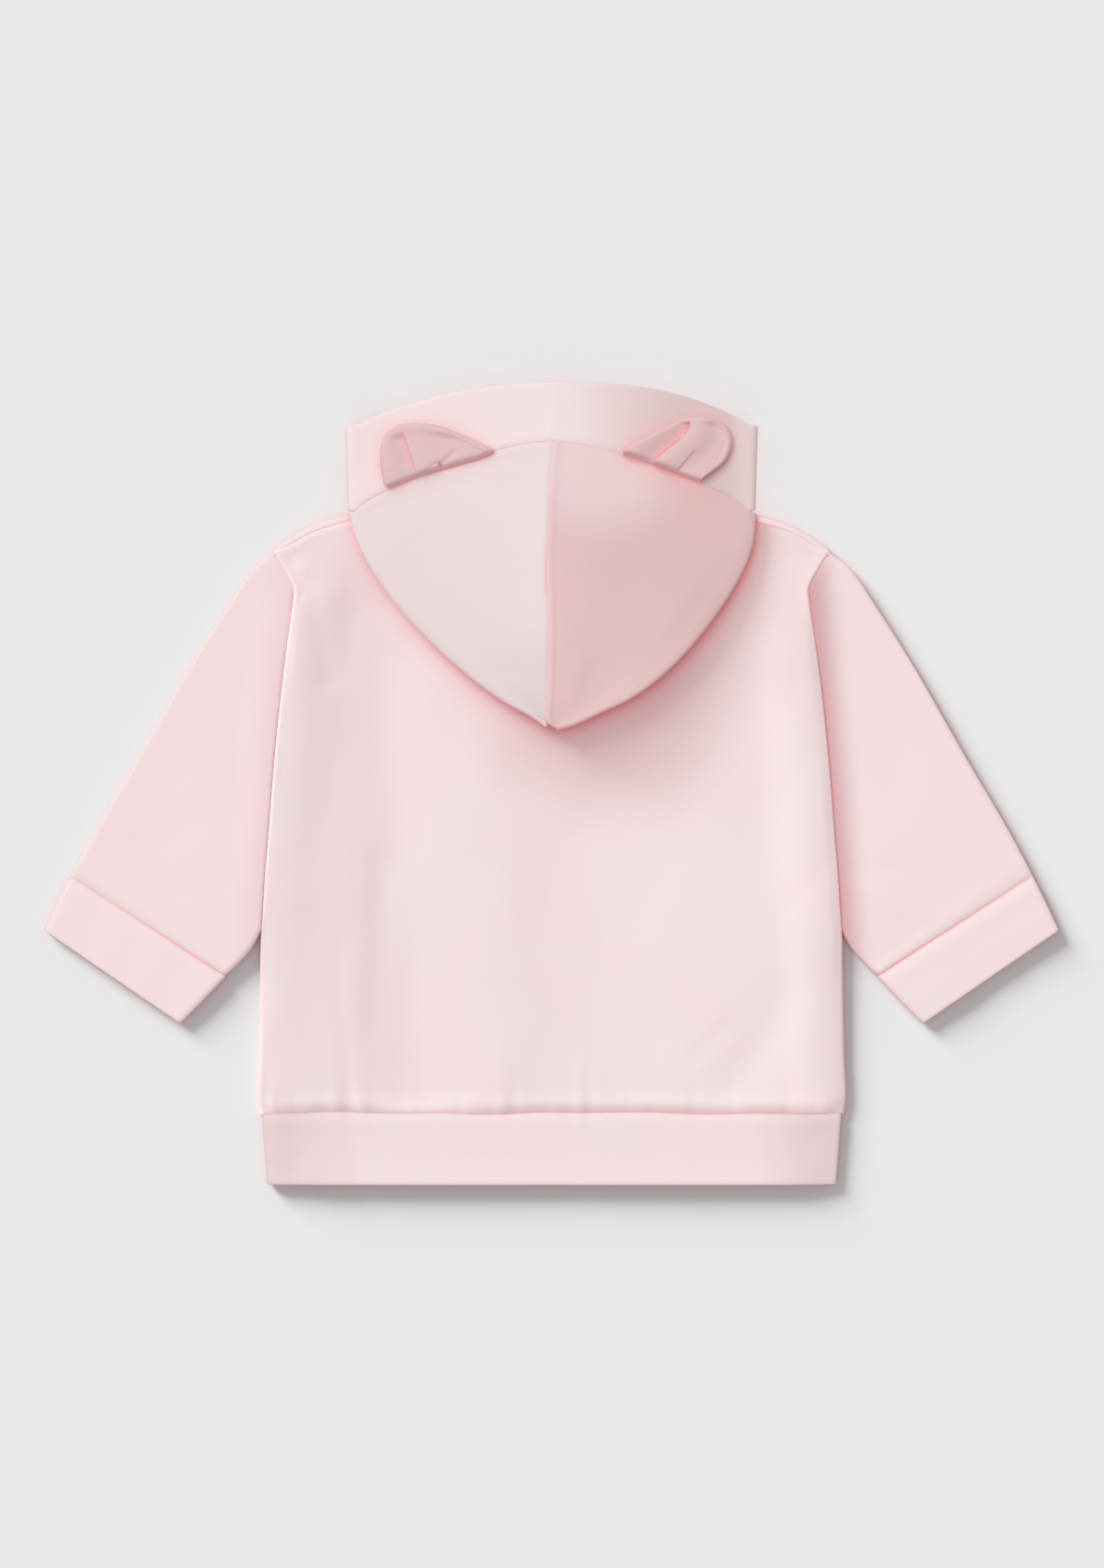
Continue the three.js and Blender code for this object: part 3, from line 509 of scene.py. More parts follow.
def fold_height(folds, x, y):
    """How high soft folds raise a place. Each is a line's two ends, its spread, and its height or depth."""
    total = 0.0
    for (ax, ay), (bx, by), spread, height in folds:
        dx, dy = bx - ax, by - ay
        t = min(max(((x - ax) * dx + (y - ay) * dy) / (dx * dx + dy * dy), 0.0), 1.0)
        away = math.hypot(x - ax - t * dx, y - ay - t * dy) / spread
        if away < 3:
            total += height * math.exp(-away * away)
    return total


def seam_dip(distance):
    """Cloth near a seam: a puffed strip that dives into the stitching."""
    return 0.25 * bell(distance - 4.5, 3.5) - 0.8 * math.exp(-distance / 0.9)


def hem_wave(x):
    """The hem band's seam isn't quite straight."""
    return 0.45 * math.sin(x / 21 + 0.6) + 0.3 * math.sin(x / 8.3 + 2.0)


def unevenness(x, y):
    """Cloth that lies loose is never quite flat."""
    return (0.10 * math.sin(x / 17 + y / 41) + 0.08 * math.sin(y / 23 - x / 37 + 1.3)
            + 0.05 * math.sin(x / 7.1 - y / 13 + 0.4))


def back_top_y(x):
    share = abs(x) / NECK_X
    if share >= 1:
        return shoulder_y(x) - SHOULDER_SEAM_BACK - SEWN
    return NECK_Y - SHOULDER_SEAM_BACK - SEWN - (BACK_NECK_DROP - SHOULDER_SEAM_BACK) * (1 - share**2.5)


def back_z(x, y):
    to_edge = read(SIDE, "y", "edge", y) - abs(x)
    z = lerp(read(SIDE, "y", "z", y), BACK_Z, ease(to_edge, 2, 34))
    z += fold_height(BACK_FOLDS, x, y) * ease(to_edge, 4, 30)
    z = lerp(z, SHOULDER_Z, ease(y, back_top_y(x) - 16, back_top_y(x) - 1))
    return lerp(z, HEM_SEAM_Z, ease(-y, -BAND_Y - 6, -BAND_Y))


EDGE_ROLL = {"left": {"drop": 0.0, "reach": 4.0}, "right": {"drop": 0.9, "reach": 3.5}}


def back_detail(x, y):
    above = y - BAND_Y
    z = fold_height(BACK_CREASES, x, y) + unevenness(x, y) + seam_dip(above)
    if above < 50:
        z += sum(p["height"] * bell(x - p["x"], p["spread"]) * math.exp(-above / p["reach"])
                 for p in HEM_PUCKERS)
    to_edge = read(SIDE, "y", "edge", y) - abs(x)
    if x > 0:
        z += 0.8 * bell(to_edge - 17, 11) * (1 - ease(y, 60, 90))
        z += 0.3 * bell(to_edge - 1.2, 0.9) * ease(y, 93, 98)
    below_shoulder = back_top_y(x) - y
    if abs(x) > NECK_X and below_shoulder < 12:
        z += 0.1 * bell(below_shoulder - 2.5, 2) - 0.35 * math.exp(-below_shoulder / 0.9)
    return z


def back_roll(side, y):
    """How far the folded side sinks below the plain panel at its edge."""
    return EDGE_ROLL[side]["drop"] * (1 - ease(y, 70, 95))


def back_side(side, y, under_steps):
    """The folded side: how far it is out from the start of its bend, and over."""
    bend, turn, under = (read(SIDE, "y", c, y) for c in ("bend", "turn", "under"))
    return turned_edge(bend - back_roll(side, y) / 2, turn, under, 8, under_steps)


def back_bend_x(side, y):
    return read(SIDE, "y", "edge", y) - max(out for out, over in back_side(side, y, 2))


def back_rows():
    top_side_y = back_top_y(SHOULDER_X - 1.8)
    near_seam = [0, 0.35, 0.8, 1.3, 2, 2.8, 3.8, 5, 6.4, 8]
    near_shoulder = [109.5, 111, 112.4, 113.4, 114.2, top_side_y]
    ups = [BAND_Y + d for d in near_seam] + steps(118, BAND_Y + 10, 108) + near_shoulder
    near_edge = [0.9925, 0.984, 0.975, 0.965, 0.955]
    across = sorted({*steps(120, -0.945, 0.945), *near_edge, *[-u for u in near_edge], -1, 1})
    rows = []
    for side_y in ups:
        share = (side_y - BAND_Y) / (top_side_y - BAND_Y)
        top = []
        for u in across:
            side = "left" if u < 0 else "right"
            bend_x = back_bend_x(side, side_y)
            x = u * bend_x
            y = lerp(BAND_Y, back_top_y(u * back_bend_x(side, top_side_y)), share)
            z = back_z(x, y) + back_detail(x, y) * ease(1 - abs(u), 0, 0.03)
            z -= back_roll(side, side_y) * math.exp((abs(x) - bend_x) / EDGE_ROLL[side]["reach"])
            top.append((x, y + hem_wave(x) * max(0, 1 - (y - BAND_Y) / 30), z))
        (left_x, left_y, left_z), (right_x, right_y, right_z) = top[0], top[-1]
        left = [(left_x - out, left_y, left_z - over) for out, over in reversed(back_side("left", side_y, 4))]
        right = [(right_x + out, right_y, right_z - over) for out, over in back_side("right", side_y, 4)]
        rows.append(left + top + right)
    return rows


# Painted light and shade on the back: its colour is deeper on the left and lighter towards the right, and its
# painted fold shade turns pinker towards the right; a painted shadow spreads round the lower right of the
# hood; and the folded left edge is painted darker.
BACK_PAINTED_LIGHT_AND_SHADE = [
    {"direction": (1.0, 0.15, 0), "start": -110, "end": 70, "colour": (0.94, 0.775, 0.775),
     "fold_shade": (1.0, 0.47, 0.48)},
    {"round": (26, 46, 5), "start": 82, "end": 26, "colour": (0.81, 0.59, 0.595)},
    {"direction": (-0.9995, 0.03, 0), "start": 140.0, "end": 142.0, "colour": (0.74, 0.60, 0.61)},
]
back_fleece = fleece("fleece_back", (0.905, 0.74, 0.75), (0.90, 0.60, 0.61), BACK_PAINTED_LIGHT_AND_SHADE, 0.07, 0.5, 1.0)
back = cloth("back_cloth", back_rows(), CLOTH, back_fleece)
back_only.objects.link(back)
not_these.objects.link(back)
not_these.collection_objects[1].light_linking.link_state = "EXCLUDE"
finish_sheet(back, "back_panel")

# Each sleeve is one tube, set in at the armhole, where the folded side of the body covers its seam. It lies
# flat, its upper ply on its lower one, and puffs a little above the cuff.
SLEEVE_UNDER_Z = 2.6
SLEEVE_Z = 4.5
SLEEVE_CLEAR = 0.4
SLEEVE_LENGTH = 163
BESIDE_BODY = {"right": 0.3, "left": 3.1}
SLEEVE = {
    "s": [0, 0.12, 0.3, 0.5, 0.7, 0.88, 1],
    "outer_x": [140.5, 151.5, 166.0, 186.5, 206.6, 227.5, 239.9],
    "outer_y": [116.6, 107.5, 83.5, 48, 12.6, -23, -46.2],
    "inner_x": [136.2, 136.9, 138.4, 142.4, 149.6, 158.0, 163.3],
    "inner_y": [-24, -34, -50, -66, -81, -90.6, -95.2],
}
SLEEVE_FOLDS = {
    "right": [
        ((168, 60), (150, -20), 16, -0.9),
        ((190, 0), (168, -58), 12, 0.4),
        ((152, -52), (188, -66), 5, 0.5),
        ((148, -44), (172, -42), 5, -0.45),
        ((146, 96), (166, 64), 9, 0.35),
        ((214, -38), (196, -18), 8, 0.3),
    ],
    "left": [
        ((-166, 64), (-150, -16), 16, -0.7),
        ((-216, -36), (-168, -12), 11, -0.5),
        ((-212, -22), (-176, -4), 9, 0.25),
        ((-180, 22), (-160, -40), 11, 0.45),
        ((-148, 98), (-162, 72), 8, -0.35),
        ((-150, -56), (-182, -62), 6, 0.35),
    ],
}


def flat_ring(path, lower_z, upper, shares, bend_steps=7):
    """One ring of a flattened tube: from the outer edge over the upper ply to the inner one, and back."""
    outer, inner = path(0), path(1)
    width = math.dist(outer, inner)
    direction = ((inner[0] - outer[0]) / width, (inner[1] - outer[1]) / width)
    outer_bend = (upper(*outer) - lower_z) / 2
    inner_bend = (upper(*inner) - lower_z) / 2
    low, high = outer_bend / width, 1 - inner_bend / width
    places = [path(lerp(low, high, share)) for share in shares]
    ring = [(x, y, upper(x, y)) for x, y in places]
    for start, bend, sign in ((places[-1], inner_bend, 1), (places[0], outer_bend, -1)):
        rise = (upper(*start) - lower_z) / 2
        if sign < 0:
            ring += [(x, y, lower_z) for x, y in reversed(places)]
        for k in range(1, bend_steps):
            a = math.pi * k / bend_steps
            out = sign * bend * math.sin(a)
            ring.append((start[0] + direction[0] * out, start[1] + direction[1] * out,
                         lower_z + rise * (1 + sign * math.cos(a))))
    return ring


def armhole(share):
    y = lerp(SLEEVE["outer_y"][0], SLEEVE["inner_y"][0], share)
    return read(SIDE, "y", "seam", y) + SLEEVE_CLEAR + 0.6 * ease(-y, -10, 20) - 2.2 * ease(y, 80, 92), y


def sleeve_z(x, y):
    past_edge = x - read(SIDE, "y", "edge", y)
    low = lerp(SLEEVE_UNDER_Z, read(SIDE, "y", "z", y) - 0.3, ease(y, 92, 99))
    return lerp(low, SLEEVE_Z, ease(past_edge, 2, 24))


def sleeve_rows(side):
    sign = -1 if side == "left" else 1
    near_cuff = [1 - d / SLEEVE_LENGTH for d in (0, 0.4, 0.9, 1.5, 2.3, 3.3, 4.6, 6.2, 8)]
    downs = [*steps(9, 0, 0.06), *steps(84, 0.07, 0.94), *sorted(near_cuff)]
    shares = [0.5 - 0.5 * math.cos(math.pi * k / 60) for k in range(61)]
    rows = []
    for s in downs:
        outer = (read(SLEEVE, "s", "outer_x", s), read(SLEEVE, "s", "outer_y", s))
        inner = (read(SLEEVE, "s", "inner_x", s), read(SLEEVE, "s", "inner_y", s))

        def path(share):
            chord = lerp(SLEEVE["outer_x"][0], SLEEVE["inner_x"][0], share)
            sag = (armhole(share)[0] - chord) * (1 - ease(s, 0, 0.5)) if 0 < share < 1 else 0
            return lerp(outer[0], inner[0], share) + sag, lerp(outer[1], inner[1], share)

        to_cuff = (1 - s) * SLEEVE_LENGTH

        def upper(x, y):
            open_ply = ease(x - read(SIDE, "y", "edge", y), 3, 16)
            detail = fold_height(SLEEVE_FOLDS[side], sign * x, y) + 0.7 * unevenness(sign * x + 40, y)
            z = sleeve_z(x, y) + detail * open_ply + 0.5 * bell(to_cuff - 6, 5)
            past_edge = x - read(SIDE, "y", "edge", y)
            beside = lerp(BESIDE_BODY[side], 2.4, ease(y, 50, 92)) * (1 - ease(y, 92, 99))
            z += beside * ease(past_edge, 0.2, 1.7) * (1 - ease(past_edge, 4, 22))
            past_seam = max(0.0, past_edge - 0.4)
            z += ease(y, 80, 94) * (0.15 * bell(past_seam - 2.8, 2.2) - 0.45 * math.exp(-past_seam / 0.6))
            return max(1.9, z - 1.9 * math.exp(-to_cuff / 1.3))

        rows.append([(sign * x, y, z) for x, y, z in flat_ring(path, FRONT_Z, upper, shares)])
    return rows


# Painted shade on the sleeves: each is painted a deeper pink beside the body, whose side shades it, fading
# out to the cloth's own pink; the right one deeply, the left one slightly, with a paler painted fold shade on
# the left.
SLEEVE_FLEECE = {
    "right": fleece("fleece_sleeve_right", (0.62, 0.38, 0.385), PINK_FOLD_SHADE,
                    [{"direction": (0.996, 0.088, 0), "start": 135, "end": 155, "colour": PINK}]),
    "left": fleece("fleece_sleeve_left", (0.86, 0.665, 0.68), (0.86, 0.62, 0.63),
                   [{"direction": (-0.996, 0.088, 0), "start": 136, "end": 160, "colour": PINK}]),
}
for side in ("right", "left"):
    sleeve = cloth(f"sleeve_{side}_cloth", sleeve_rows(side), CLOTH, SLEEVE_FLEECE[side], ring=True)
    finish_sheet(sleeve, f"sleeve_{side}")

# The cuffs are strips of the same cloth, folded double and closed to rings, with the fold at the wrist.
CUFF = {
    "s": [0, 0.5, 1],
    "outer_x": [239.6, 246.0, 251.9],
    "outer_y": [-47.2, -60.2, -72.8],
    "inner_x": [163.9, 174.8, 185.6],
    "inner_y": [-96.0, -107.4, -118.2],
}
CUFF_Z = 3 * CLOTH + 0.5
CUFF_LENGTH = 30.0


def cuff_rows(side):
    sign = -1 if side == "left" else 1
    near = [0, 0.4, 0.9, 1.5, 2.3, 3.3, 4.6, 6.2]
    downs = [d / CUFF_LENGTH for d in near] + steps(16, 0.26, 1)
    shares = steps(48)
    rows = []
    for s in downs:
        outer = (read(CUFF, "s", "outer_x", s), read(CUFF, "s", "outer_y", s))
        inner = (read(CUFF, "s", "inner_x", s), read(CUFF, "s", "inner_y", s))
        along = s * CUFF_LENGTH

        def upper(x, y):
            across = math.dist((x, y), outer)
            wave = 0.16 * math.sin(across / 9 + (1 if sign > 0 else 2.6)) + 0.1 * math.sin(across / 4.1)
            puffed = CUFF_Z + wave + 0.3 * bell(along - 5, 5)
            return puffed - 1.3 * math.exp(-along / 0.9) - 0.5 * ease(along, 18, 30)

        rows.append([(sign * x, y, z) for x, y, z in flat_ring(
            lambda t: (lerp(outer[0], inner[0], t), lerp(outer[1], inner[1], t)), CLOTH, upper, shares)])
    return rows


for side in ("right", "left"):
    cuff = cloth(f"cuff_{side}_cloth", cuff_rows(side), DOUBLED, band_cloth, ring=True)
    finish_sheet(cuff, f"cuff_{side}")

# The hem band is a strip of the same cloth, folded double and closed to a ring. It is a little shorter than
# the hem that is sewn to it, so the body puckers above.
HEM_BAND_Z = 3 * CLOTH + 0.6
BAND_CREASES = [
    ((-138, -168), (-137, -198), 4, 0.35),
    ((-126, -168), (-125, -198), 6, -0.45),
    ((-142, -170), (-128, -176), 2.6, -0.25),
    ((-142, -178), (-124, -186), 3.0, -0.22),
    ((-140, -190), (-126, -194), 2.8, -0.2),
    ((-100, -166), (-98, -196), 4, -0.3),
    ((-52, -166), (-50, -192), 6, 0.25),
    ((8, -166), (10, -198), 5, -0.25),
    ((66, -168), (64, -194), 6, 0.25),
    ((110, -166), (113, -190), 4, -0.3),
    ((138, -172), (128, -180), 3.2, -0.2),
]


def hem_band_rows():
    near = [0, 0.35, 0.8, 1.4, 2.2, 3.2, 4.6, 6.4]
    top_y = BAND_Y - SEAM_GAP
    downs = [d / (top_y - HEM_Y) for d in near] + steps(20, 0.23, 1)
    shares = steps(150)
    rows = []
    for s in downs:
        y_here = lerp(top_y, HEM_Y + 0.45 * DOUBLED, s)
        half = lerp(143.6, 141, s)
        along = top_y - y_here

        def upper(x, y):
            puckers = sum(p["height"] * bell(x - p["x"], p["spread"]) for p in HEM_PUCKERS)
            pucker = puckers * 0.7 * math.exp(-along / 6)
            z = HEM_BAND_Z + fold_height(BAND_CREASES, x, y) + 0.5 * unevenness(x + 60, y) + pucker
            z += 1.2 * ease(along, 20, 35) * ease(half - abs(x), 2, 20)
            z -= 1.3 * math.exp(-(half - x) / 8) + 0.5 * math.exp(-(half + x) / 5)
            return z + 0.3 * bell(along - 4.5, 4) - 1.3 * math.exp(-along / 0.9)

        def path(t):
            x = lerp(-half, half, t)
            return x, y_here + hem_wave(x) * max(0, 1 - along / 14)

        rows.append(flat_ring(path, CLOTH, upper, shares))
    return rows


# Painted shade: the hem band is painted darker towards both ends, where it rolls down, with painted shade in
# its folds.
hem_cloth = fleece("banding_hem", (0.875, 0.74, 0.745), PINK_FOLD_SHADE, [
    {"direction": (1, 0, 0), "start": 95, "end": 134, "colour": (0.76, 0.63, 0.635)},
    {"direction": (-1, 0, 0), "start": 80, "end": 140, "colour": (0.78, 0.64, 0.65)},
])
hem = cloth("hem_band_cloth", hem_band_rows(), DOUBLED, hem_cloth, ring=True)
finish_sheet(hem, "hem_band")

# The hood is two shaped panels, joined by a seam over its middle and sewn to the back neck. It lies turned
# down on the back: each panel rises to the middle seam, folds at its lower edge and comes back under itself.
HOOD_OUTLINE = {
    "left": [(-0.9, 27.2), (-9, 33.2), (-22.8, 40.9), (-36.6, 50.6), (-57.3, 68.5), (-78, 90.6),
             (-91.8, 111.3), (-97.6, 124.2), (-100.4, 135.6)],
    "right": [(0.3, 26.6), (11.7, 29.9), (25.5, 36.3), (40.7, 43.7), (60, 58.9), (78, 79.6), (91.8, 100.3),
              (99.4, 118), (101.4, 134.6)],
}
HOOD_SEAM = {
    "y": [26.9, 33, 51.5, 79, 107, 139, 171],
    "x": [-0.5, -3.0, -2.2, -1.8, -2.4, -1.6, 1.2],
    "z": [13, 15.5, 22, 27.5, 25, 19.5, 13],
}
EAR_SEAM = {
    "x": [0, 20, 50, 78, 92, 100.5],
    "y": [171, 168.2, 158.6, 148.3, 141.2, 134.8],
    "z": [13, 12.8, 12.2, 11.2, 10.4, 10],
}
HOOD_EDGE = {"b": [0, 0.4, 0.75, 0.93, 1], "z": [12.6, 13.6, 13.2, 11, 10], "lift": [2.2, 2.6, 2.2, 0.8, 0]}
NAPE_SHARE = 0.72
HOOD_CREASES = {
    "left": [
        ((-60, 120), (-20, 60), 16, -0.8),
        ((-92, 122), (-60, 96), 8, 0.5),
        ((-86, 136), (-40, 150), 6, -0.4),
        ((-18, 50), (-8, 40), 5, 0.4),
    ],
    "right": [
        ((44, 118), (26, 60), 15, -1.0),
        ((90, 118), (60, 80), 9, 0.6),
        ((60, 146), (88, 132), 6, -0.4),
        ((14, 60), (10, 44), 5, 0.5),
    ],
}


class Outline:
    """A smooth curve through plan points, read by its share of the length."""

    def __init__(self, points):
        p = np.array(points, float)
        p = np.vstack([2 * p[0] - p[1], p, 2 * p[-1] - p[-2]])
        line = []
        for i in range(1, len(p) - 2):
            d0, d1, d2 = (max(np.linalg.norm(p[k + 1] - p[k]) ** 0.5, 1e-4) for k in (i - 1, i, i + 1))
            start = ((p[i] - p[i - 1]) / d0 - (p[i + 1] - p[i - 1]) / (d0 + d1) + (p[i + 1] - p[i]) / d1) * d1
            end = ((p[i + 1] - p[i]) / d1 - (p[i + 2] - p[i]) / (d1 + d2) + (p[i + 2] - p[i + 1]) / d2) * d1
            for t in np.linspace(0, 1, 33)[(0 if i == 1 else 1):]:
                line.append((2 * t**3 - 3 * t**2 + 1) * p[i] + (t**3 - 2 * t**2 + t) * start
                            + (3 * t**2 - 2 * t**3) * p[i + 1] + (t**3 - t**2) * end)
        self.line = np.array(line)
        self.length = np.concatenate([[0], np.cumsum(np.linalg.norm(np.diff(self.line, axis=0), axis=1))])

    def at(self, share):
        where = share * self.length[-1]
        return tuple(float(np.interp(where, self.length, self.line[:, k])) for k in (0, 1))


def ear_seam_y(x):
    return read(EAR_SEAM, "x", "y", abs(x))


def ear_seam_z(x):
    return read(EAR_SEAM, "x", "z", abs(x))


def ridge(a):
    """From the middle seam, at 0, to the fold, at 1: a ridge that runs out into a soft round."""
    return 0.6 * (1 - a) + 0.2 * (1 + math.cos(math.pi * a))


def hood_rows(side):
    sign = -1 if side == "left" else 1
    fold = Outline(HOOD_OUTLINE[side])
    inset = SEWN + 0.02
    near_ear_seam = [1 - d for d in (0.0, 0.003, 0.007, 0.012, 0.018, 0.026)]
    downs = [*steps(16, 0.02, 0.15), *steps(66, 0.163, 0.965), *sorted(near_ear_seam)]
    near_seam = [0, 0.006, 0.013, 0.022, 0.033, 0.046, 0.062, 0.08]
    overs = near_seam + steps(46, 0.1, 1)
    corner = fold.at(1)
    rows = []
    for b in downs:
        edge = fold.at(b)
        top_y = lerp(HOOD_SEAM["y"][0], EAR_SEAM["y"][0] - SEWN, b**0.9)
        start = (read(HOOD_SEAM, "y", "x", top_y) + sign * inset, top_y)
        ridge_z = read(HOOD_SEAM, "y", "z", top_y)
        fold_z = read(HOOD_EDGE, "b", "z", b)
        lift = read(HOOD_EDGE, "b", "lift", b)

        def under_z(x, y, to_fold):
            return back_z(x, min(y, back_top_y(x))) + CLEAR + lift * to_fold**3

        bend = (fold_z - under_z(*edge, 1)) / 2
        plan_bend = min(bend, 0.45 * math.dist(start, edge))
        bend_at = (edge[0] - sign * plan_bend, edge[1] + 0.5 * plan_bend * (1 - b))
        row = []
        for a in overs:
            x, y = lerp(start[0], bend_at[0], a), lerp(start[1], bend_at[1], a)
            arch = ear_seam_y(x) - SEWN - lerp(EAR_SEAM["y"][0], corner[1], a)
            y = lerp(y + arch * b**2, ear_seam_y(x) - SEWN, b**8)
            z = lerp(fold_z + (ridge_z - fold_z) * ridge(a), ear_seam_z(x), b**8)
            from_seam = abs(x - start[0])
            from_ear_seam = max(0.0, ear_seam_y(x) - SEWN - y)
            z += fold_height(HOOD_CREASES[side], x, y) * ease(from_seam, 3, 14) * ease(1 - a, 0, 0.15)
            z -= 0.55 * math.exp(-from_seam / 0.6)
            z += (0.55 if sign > 0 else 0.12) * bell(from_seam - 1.9, 1.2)
            if sign < 0:
                z -= 1.8 * math.exp(-from_seam / 1.1) * bell(y - 103, 12)
            z += 0.25 * bell(from_ear_seam - 3, 2.4) - 0.4 * math.exp(-from_ear_seam / 0.7)
            row.append((x, y, z + 0.6 * unevenness(x, y + 30)))
        top_z = row[-1][2]
        bend = (top_z - under_z(*edge, 1)) / 2
        out = (edge[0] - bend_at[0], edge[1] - bend_at[1])
        for k in range(1, 10):
            angle = math.pi * k / 10
            row.append((bend_at[0] + out[0] * math.sin(angle), bend_at[1] + out[1] * math.sin(angle),
                        top_z - bend * (1 - math.cos(angle))))
        neck_share = max(0.0, (b - NAPE_SHARE) / (1 - NAPE_SHARE))
        neck_x = sign * max(inset, neck_share * (NECK_X + 1))
        seam_y = lerp(HOOD_SEAM["y"][0] + 1.5, back_top_y(0), min(1, b / NAPE_SHARE))
        if b < NAPE_SHARE:
            end = (read(HOOD_SEAM, "y", "x", seam_y) + sign * inset, seam_y)
        else:
            end = (neck_x, back_top_y(neck_x))
        for a in steps(26):
            x, y = lerp(bend_at[0], end[0], a), lerp(bend_at[1], end[1], a)
            row.append((x, y, under_z(x, y, 1 - a)))
        rows.append(row)
    return rows


# Painted light and shade on the hood: the right panel, which slopes away from the lamps, is painted a deeper
# pink than the left, deepening towards its upper right, with a lighter patch just below the band; both have
# painted shade in their folds.
HOOD_FLEECE = {
    "left": fleece("fleece_hood_left", (0.81, 0.70, 0.70), (1.0, 0.70, 0.70), (), 0.045, 0.45),
    "right": fleece("fleece_hood_right", (0.86, 0.625, 0.62), (0.98, 0.42, 0.44),
                    [{"direction": (0.7, 0.7, 0), "start": 15, "end": 130, "colour": (0.72, 0.51, 0.50)},
                     {"round": (24, 160, 13), "start": 52, "end": 16, "colour": (0.79, 0.635, 0.63)}],
                    0.045, 0.45),
}
for side in ("left", "right"):
    panel = cloth(f"hood_{side}_cloth", hood_rows(side), CLOTH, HOOD_FLEECE[side])
    finish_sheet(panel, f"hood_panel_{side}")
    hood_parts.objects.link(panel)

# The hood's band is a strip folded double round the face. It runs from the middle of the front neck up along
# the surface, turns over at the side, crosses the top of the hood, and comes down the other side.
HOOD_SIDE_X = 101.8
HOOD_CORNER_Y = 177.0
FACE_ROUND = {"left": 2.15, "right": 2.8}
FACE_Z = 8.0
FACE_SIDE_Z = 7.0
SHOULDER_CLEAR = 2.0
NECK_XS = [20, 38, 52, 62, 69, 73.5, 76.5]
BAND_UNDER_Z = {"face": CLOTH + 0.1, "sewn": 3.7}
HOOD_BAND_CREASES = [
    ((1, 200), (1, 176), 2.4, 0.35),
    ((-70, 190), (-96, 160), 7, -0.4),
    ((30, 192), (44, 176), 9, -0.35),
    ((96, 170), (88, 150), 5, 0.35),
    ((-95, 150), (-99, 168), 5, 0.3),
]


EDGE_OUT = 0.9 * DOUBLED / 2


def face_y(x):
    share = min(1, abs(x) / HOOD_SIDE_X)
    drop = (TOP_Y - HOOD_CORNER_Y) * share ** FACE_ROUND["left" if x < 0 else "right"]
    return TOP_Y - EDGE_OUT - drop


BAND_TURN_X = 98.5
BAND_SEWN_INSET = 1.2


def over_the_head(x):
    """A station of the band on top of the hood: its points on the face edge and on the ear seam."""
    face_x = x * HOOD_SIDE_X / 101.4
    return ((face_x, face_y(face_x), lerp(FACE_Z, FACE_SIDE_Z, abs(face_x) / HOOD_SIDE_X)),
            (x, ear_seam_y(x) + SEWN, ear_seam_z(x)))


def band_side(side):
    """The stations that turn under at the side of the hood and run down to the middle of the front neck."""
    sign = -1 if side == "left" else 1
    stations = []
    face_top, sewn_top = over_the_head(sign * BAND_TURN_X)
    for k in range(1, 13):
        angle = math.pi * k / 12

        def turn(p, low):
            bend = (p[2] - low) / 2
            return p[0] + sign * bend * math.sin(angle), p[1], p[2] - bend * (1 - math.cos(angle))

        face = turn(face_top, BAND_UNDER_Z["face"])
        x, y, z = turn(sewn_top, BAND_UNDER_Z["sewn"])
        inset = sign * BAND_SEWN_INSET * math.sin(angle)
        stations.append((face, (x - inset, y + SHOULDER_CLEAR * k / 12, z)))
    for x in [94, 90, 86, 82, NECK_X + 1.5, *reversed(NECK_XS), 10, 0.2]:
        over_shoulder = x > NECK_X
        sewn_y = shoulder_y(x) + SHOULDER_CLEAR if over_shoulder else front_top_y(x) + 1.1
        sewn_x = x if over_shoulder else max(0.2, x * 0.975)
        sewn_z = lerp(2.6, BAND_UNDER_Z["sewn"], (x - NECK_X) / 20) if over_shoulder else CLOTH + 0.1
        face_below = lerp(TOP_Y - 100, HOOD_CORNER_Y - 3, x / HOOD_SIDE_X)
        face = (sign * max(0.2, x * 0.98), face_below, CLOTH + 0.1)
        stations.append((face, (sign * sewn_x, sewn_y, sewn_z)))
    return stations


def hood_band_rows():
    left, right = band_side("left"), band_side("right")
    over = [over_the_head(x) for x in steps(120, -BAND_TURN_X, BAND_TURN_X)]
    stations = [*reversed(left), *over, *right]
    first_top, last_top = len(left), len(left) + len(over) - 1
    rows = []
    for i, (face, sewn) in enumerate(stations):
        on_top = first_top <= i <= last_top
        width = math.dist(face, sewn)
        row = []
        for c in [*steps(18, 0, 0.82), 0.86, 0.9, 0.93, 0.955, 0.97, 0.98, 0.99, 1]:
            x, y, z = (lerp(face[k], sewn[k], c) for k in range(3))
            if on_top:
                side_fade = ease(HOOD_SIDE_X - abs(x), 0, 6)
                to_seam = (1 - c) * width
                detail = fold_height(HOOD_BAND_CREASES, x, y) + 0.6 * unevenness(x, y)
                detail += 0.25 * bell(to_seam - 3, 2.4) - 0.4 * math.exp(-to_seam / 0.7)
                z += detail * side_fade
            row.append((x, y, z))
        rows.append(row)
    return rows


# Painted shade on the hood's band: its right half, which slopes away from the lamps, is painted darker from
# the middle outwards, and a little less dark again near its right end; it has painted shade in its folds.
hood_banding = fleece("banding_hood", (0.86, 0.735, 0.735), (0.90, 0.52, 0.53), [
    {"direction": (1, 0, 0), "start": -4, "end": 70, "colour": (0.68, 0.545, 0.54)},
    {"direction": (1, 0, 0), "start": 84, "end": 98, "colour": (0.76, 0.635, 0.63)},
])
hood_band = cloth("hood_band_cloth", hood_band_rows(), DOUBLED, hood_banding)
finish_sheet(hood_band, "hood_band")
hood_parts.objects.link(hood_band)

